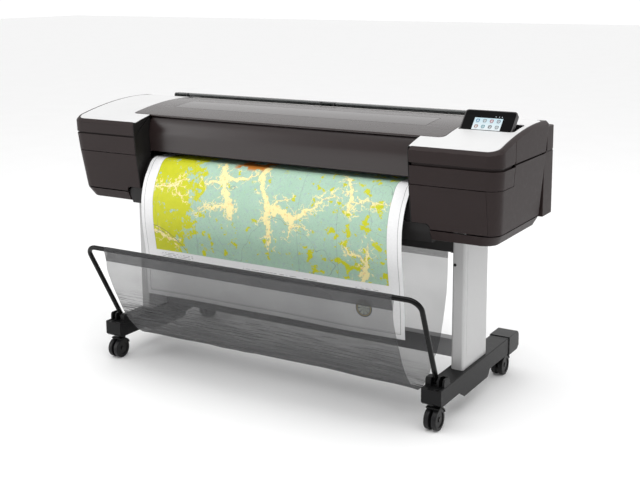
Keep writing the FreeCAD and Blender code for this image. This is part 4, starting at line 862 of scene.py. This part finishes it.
# Valleys: two wide trunks with side branches, a fork low on the right, streams on the left.
# Each is a start, an end, and a half width at each of them, in millimetres on the cut sheet.
VALLEYS = (
    (-215, 580, -190, 500, 6, 15), (-190, 500, -172, 450, 15, 11), (-172, 450, -150, 400, 11, 16),
    (-150, 400, -142, 352, 14, 4), (-200, 500, -100, 502, 10, 4), (-180, 474, -275, 470, 6, 2),
    (-160, 396, -285, 362, 6, 2), (-100, 502, -40, 530, 4, 2), (-30, 590, -12, 470, 13, 10),
    (-12, 470, 20, 400, 10, 13), (20, 400, 25, 268, 10, 4), (28, 412, 112, 384, 10, 14),
    (112, 384, 180, 410, 11, 8), (180, 410, 224, 450, 8, 4), (212, 444, 290, 476, 4, 2),
    (112, 384, 130, 350, 11, 6), (130, 356, 186, 360, 4, 1), (128, 350, 106, 312, 5, 1),
    (50, 412, 100, 446, 5, 2), (20, 368, -12, 358, 5, 2), (300, 570, 354, 452, 3, 7),
    (354, 452, 376, 418, 7, 2), (358, 466, 480, 472, 3, 1), (410, 180, 410, 254, 12, 9),
    (410, 254, 344, 304, 6, 2), (410, 254, 438, 334, 6, 1), (-520, 436, -400, 446, 3, 5),
    (-400, 446, -365, 480, 4, 1), (-395, 440, -350, 405, 4, 1), (-520, 268, -400, 238, 6, 3),
)


def pushed(vector, push, reach):
    """A vector moved about by a colour noise, by at most half the reach along each axis."""
    centred = add_node(tree, "ShaderNodeVectorMath",
                       {0: push.node.outputs["Color"], 1: (0.5, 0.5, 0.5)},
                       operation="SUBTRACT").outputs[0]
    return add_node(tree, "ShaderNodeVectorMath", {0: centred, 1: reach, 2: vector},
                    operation="MULTIPLY_ADD").outputs[0]


bent = pushed(cut, noise(cut, 42.0, Detail=5.0, Roughness=0.72), (0.052, 0.052, 0.0))
bent = pushed(bent, noise(cut, 13.0, Detail=2.0), (0.075, 0.050, 0.0))
outside = 1.0
for valley in VALLEYS:
    u0, v0, u1, v1, half0, half1 = (size / 1000 for size in valley)
    outside = math_node("MINIMUM", outside, valley_reach((u0, v0), (u1, v1), half0, half1))
streams = times(band(print_noise(17.0, 5.0, 31.0, 0.6), 0.5, 0.010, 0.006),
                remap(outside, 0.018, 0.030, 1.0, 0.0))
valleys = either(remap(outside, -0.0010, 0.0010, 1.0, 0.0), times(streams, 0.9))
valley_tint = mix_colour(remap(print_noise(70.0, 3.0, 9.0), 0.54, 0.66), (0.94, 0.84, 0.42),
                         (0.93, 0.70, 0.32))
field = mix_colour(valleys, field, valley_tint)
field = mix_colour(times(band(outside, 0.0016, 0.0006, 0.0006), 0.35), field,
                   (0.55, 0.40, 0.15))
orange = times(band(pu, -0.10, 0.05, 0.03), remap(pv, 0.535, 0.555))
field = mix_colour(times(orange, remap(print_noise(18.0, 4.0, 15.0), 0.46, 0.5)), field,
                   (0.58, 0.20, 0.03))

# Roads and section lines.
from_left = plus(pu, 0.52)
bow = plus(pv, times(times(from_left, from_left), 3.4))
road = times(band(bow, 0.288, 0.0012, 0.0008), remap(pu, -0.36, -0.355, 1.0, 0.0))
road = either(road, times(band(print_noise(2.6, 3.0, 71.0), 0.5, 0.0008, 0.0006), 0.6))
road = either(road, times(band(plus(pu, times(pv, 0.55)), -0.05, 0.0004, 0.0005), 0.5))
for line_at in (-0.30, 0.148, 0.31):
    road = either(road, times(band(pu, line_at, 0.0004, 0.0006), 0.6))
field = mix_colour(times(road, 0.62), field, (0.10, 0.10, 0.12))
speck = remap(print_noise(190.0, 2.0, 77.0), 0.70, 0.74)
field = mix_colour(times(speck, 0.7), field, (0.12, 0.12, 0.14))

# Sheet: white margins, a thin rule round the edge, rows of small marks and a scale bar.
PAPER_WHITE = (0.86, 0.86, 0.865)
MAP_HALF, MAP_LOW, MAP_HIGH = 0.503, 0.188, 0.655
above_low = remap(pv, MAP_LOW - 0.001, MAP_LOW)
in_map = times(remap(half_u, MAP_HALF, MAP_HALF + 0.001, 1.0, 0.0),
               times(above_low, remap(pv, MAP_HIGH, MAP_HIGH + 0.001, 1.0, 0.0)))
sheet_colour = mix_colour(remap(print_noise(120.0, 2.0), 0.3, 0.7), PAPER_WHITE,
                          (0.89, 0.89, 0.895))
rule = either(times(band(half_u, 0.5435, 0.0007, 0.0004), remap(pv, 0.017, 0.018)),
              times(band(pv, 0.018, 0.0007, 0.0004), remap(half_u, 0.543, 0.544, 1.0, 0.0)))
rule = either(rule, times(band(pv, 0.0225, 0.0003, 0.0003),
                          remap(half_u, 0.539, 0.54, 1.0, 0.0)))
sheet_colour = mix_colour(times(rule, 0.7), sheet_colour, (0.15, 0.15, 0.15))
text_rows = math_node("FRACT", times(pv, 1 / 0.0062))
words = remap(print_noise(95.0, 1.0, 14.0), 0.44, 0.47)
lines = times(band(text_rows, 0.5, 0.17, 0.05), words)
block = times(band(pv, 0.166, 0.011, 0.001), band(pu, -0.405, 0.075, 0.001))
block = either(block, times(band(pv, 0.160, 0.006, 0.001), band(pu, 0.06, 0.16, 0.001)))
block = either(block, times(band(pv, 0.160, 0.009, 0.001), band(pu, 0.42, 0.045, 0.001)))
sheet_colour = mix_colour(times(times(lines, block), 0.62), sheet_colour, (0.12, 0.12, 0.13))
scale_ticks = math_node("GREATER_THAN", math_node("FRACT", times(pu, 25.0)), 0.5)
scale_bar = times(band(pv, 0.138, 0.0016, 0.0004), band(pu, 0.0, 0.10, 0.0005))
sheet_colour = mix_colour(times(scale_bar, scale_ticks), sheet_colour, (0.08, 0.08, 0.08))

# A plain round compass stands low on the right.
compass_u, compass_v = math_node("SUBTRACT", pu, 0.405), math_node("SUBTRACT", pv, 0.092)
from_centre = math_node("SQRT", plus(times(compass_u, compass_u), times(compass_v, compass_v)))
star = math_node("ABSOLUTE", math_node("SINE", times(
    math_node("ARCTAN2", compass_v, compass_u), 4.0)))
for mask, colour in (
        (remap(from_centre, 0.0310, 0.0318, 1.0, 0.0), (0.035, 0.070, 0.140)),
        (band(from_centre, 0.0265, 0.0022, 0.0005), (0.45, 0.38, 0.20)),
        (times(remap(from_centre, 0.0225, 0.023, 1.0, 0.0), remap(star, 0.2, 0.3)),
         (0.55, 0.58, 0.50))):
    sheet_colour = mix_colour(mask, sheet_colour, colour)
front_side = mix_colour(in_map, sheet_colour, field)
neat = times(times(band(half_u, MAP_HALF, 0.0006, 0.0005), above_low), 0.5)
front_side = mix_colour(neat, front_side, (0.15, 0.15, 0.15))
back = add_node(tree, "ShaderNodeNewGeometry").outputs["Backfacing"]
feed(shader, {"Base Color": mix_colour(back, front_side, PAPER_WHITE),
              "Roughness": remap(print_noise(30.0, 3.0), 0.3, 0.7, 0.42, 0.52)})
bump(shader, print_noise(900.0, 2.0), 0.00003, 0.3)

printed_sheet = grid_piece("printed_sheet", web_points, web_u, web_s, printed)
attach(printed_sheet, "frame")
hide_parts("paper_web")

# ---- Touch screen --------
# A tilting tablet-like head in a pocket of the right panel: brown case, gloss black glass,
# and a lit display with two rows of round menu marks.
case_plastic = moulded("screen_case_plastic", (0.017, 0.0145, 0.0145), 0.34, rim=0.35)
rounded("screen_case", 0.0010, case_plastic)
rounded("screen_pocket", 0.0010, trim_black)
glass_black, tree, shader = new_material("screen_glass_black", {"Specular IOR Level": 0.03})
use_and_highlight = place_group(tree, use_and_highlight_group, {"Dust": 0.1, "Rim Wear And Highlight": 0.0})
feed(shader, {
    "Base Color": mix_colour(use_and_highlight.outputs["Rub"], (0.002, 0.002, 0.0022), (0.004, 0.004, 0.004)),
    "Roughness": remap(use_and_highlight.outputs["Rub"], 0.0, 1.0, 0.06, 0.16)})
rounded("screen_glass", 0.0006, glass_black)

PANEL_FOOT, PANEL_TILT = Vector((0.0, -0.052, 0.9795)), math.radians(46.4)
panel_up = Vector((0.0, math.cos(PANEL_TILT), math.sin(PANEL_TILT)))
panel_out = Vector((0.0, -math.sin(PANEL_TILT), math.cos(PANEL_TILT)))
display_node = frame["nodes"]["screen_display"]
display_front = max((v.co - PANEL_FOOT).dot(panel_out) for v in display_node.data.vertices)

LIT = {"Base Color": (0.01, 0.01, 0.01, 1.0), "Specular IOR Level": 0.15,
       "Emission Strength": 1.0}
lit, tree, shader = new_material("display_light", {"Roughness": 0.25, **LIT})
height = component(object_coords(tree), "Z")
feed(shader, {"Emission Color": mix_colour(remap(height, 0.987, 1.022), (0.80, 0.87, 0.90),
                                           (0.58, 0.76, 0.84))})
finish_nodes(["screen_display"], lit)

marks = bmesh.new()
tint_layer = marks.verts.layers.float_color.new("tint")


def add_mark(x, v, outline, colour, lift):
    """A flat mark on the display from an outline in millimetres."""
    ring = []
    for du, dv in outline:
        place = PANEL_FOOT + panel_up * (v + dv / 1000) + panel_out * (display_front + lift)
        vert = marks.verts.new((x + du / 1000, place.y, place.z))
        vert[tint_layer] = (*colour, 1.0)
        ring.append(vert)
    marks.faces.new(ring)


def circle(radius, count=20, squash=1.0, corners=2.0):
    """An outline from a circle (corners 2) to a rounded square (corners 4 and up)."""
    outline = []
    for k in range(count):
        a = 2 * math.pi * k / count
        c, n = math.cos(a), math.sin(a)
        outline.append((radius * math.copysign(abs(c) ** (2 / corners), c),
                        radius * squash * math.copysign(abs(n) ** (2 / corners), n)))
    return outline


MARK_COLUMNS = (0.7265, 0.7510, 0.7755, 0.8000)
MARK_ROWS = ((0.0475, ((0.03, 0.22, 0.40), (0.16, 0.20, 0.22), (0.30, 0.02, 0.05),
                       (0.08, 0.12, 0.18))),
             (0.0235, ((0.26, 0.10, 0.07), (0.02, 0.22, 0.28), (0.02, 0.02, 0.03),
                       (0.14, 0.18, 0.20))))
for row, colours in MARK_ROWS:
    for x, colour in zip(MARK_COLUMNS, colours):
        add_mark(x, row, circle(6.4, corners=3.4), colour, 0.0002)
        add_mark(x, row, circle(3.9, corners=2.6), (0.85, 0.90, 0.92), 0.0003)
        add_mark(x, row + 0.0006, circle(2.3, squash=0.8), colour, 0.0004)
        add_mark(x, row - 0.0092, circle(5.0, squash=0.10, corners=8.0), (0.25, 0.28, 0.30),
                 0.0002)
for x in (0.7860, 0.7980, 0.8080):
    add_mark(x, 0.0655, circle(1.6, corners=3.0), (0.55, 0.62, 0.66), 0.0003)
mark_mesh = bpy.data.meshes.new("display_marks")
bmesh.ops.recalc_face_normals(marks, faces=marks.faces)
for face in marks.faces:
    if face.normal.dot(panel_out) < 0:
        face.normal_flip()
marks.to_mesh(mark_mesh)
marks.free()
mark_light, tree, shader = new_material("mark_light", {"Roughness": 0.3, **LIT})
tint = add_node(tree, "ShaderNodeAttribute", attribute_name="tint").outputs["Color"]
feed(shader, {"Emission Color": tint})
mark_mesh.materials.append(mark_light)
display_marks = new_object("display_marks", mark_mesh)
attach(display_marks, "touch_panel")

# ---- Back of the machine --------
# A pressed steel panel between the two rear ends, and a moulded socket plate.
back_steel = painted_metal("rear_panel_paint", (0.05, 0.05, 0.052), 0.45, flake=0.2)
finish_nodes(["rear_panel"], back_steel)
finish_nodes(["rear_connectors"], trim_black)

# Pan-head screws along the panel's upper and lower edges.
screw_tree, given, made = geometry_tree("pan_head_screws", {
    "Head": "NodeSocketFloat", "Rise": "NodeSocketFloat", "Material": "NodeSocketMaterial"})
dome = add_node(screw_tree, "GeometryNodeMeshUVSphere",
                {"Segments": 16, "Rings": 8, "Radius": given.outputs["Head"]})
squash = add_node(screw_tree, "ShaderNodeCombineXYZ",
                  {0: 1.0, 1: given.outputs["Rise"], 2: 1.0})
dome = add_node(screw_tree, "GeometryNodeTransform", {0: dome.outputs[0],
                                                      "Scale": squash.outputs[0]})
repeated(screw_tree, given, made, given.outputs["Geometry"], dome)
panel_points = [v.co for v in frame["nodes"]["rear_panel"].data.vertices]
panel_low = Vector([min(p[k] for p in panel_points) for k in range(3)])
panel_high = Vector([max(p[k] for p in panel_points) for k in range(3)])
SCREWS_IN_ROW, FROM_END, FROM_EDGE = 7, 0.012, 0.007
screw_run = panel_high.x - panel_low.x - 2 * FROM_END
screw_spots = bpy.data.meshes.new("panel_screw_spots")
screw_spots.from_pydata(
    [(panel_low.x + FROM_END + screw_run * k / (SCREWS_IN_ROW - 1), panel_high.y, z)
     for k in range(SCREWS_IN_ROW)
     for z in (panel_low.z + FROM_EDGE, panel_high.z - FROM_EDGE)], [], [])
panel_screws = grown("rear_panel_screws", screw_spots, screw_tree,
                     {"Head": 0.0035, "Rise": 0.5, "Material": screw_black})
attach(panel_screws, "frame")
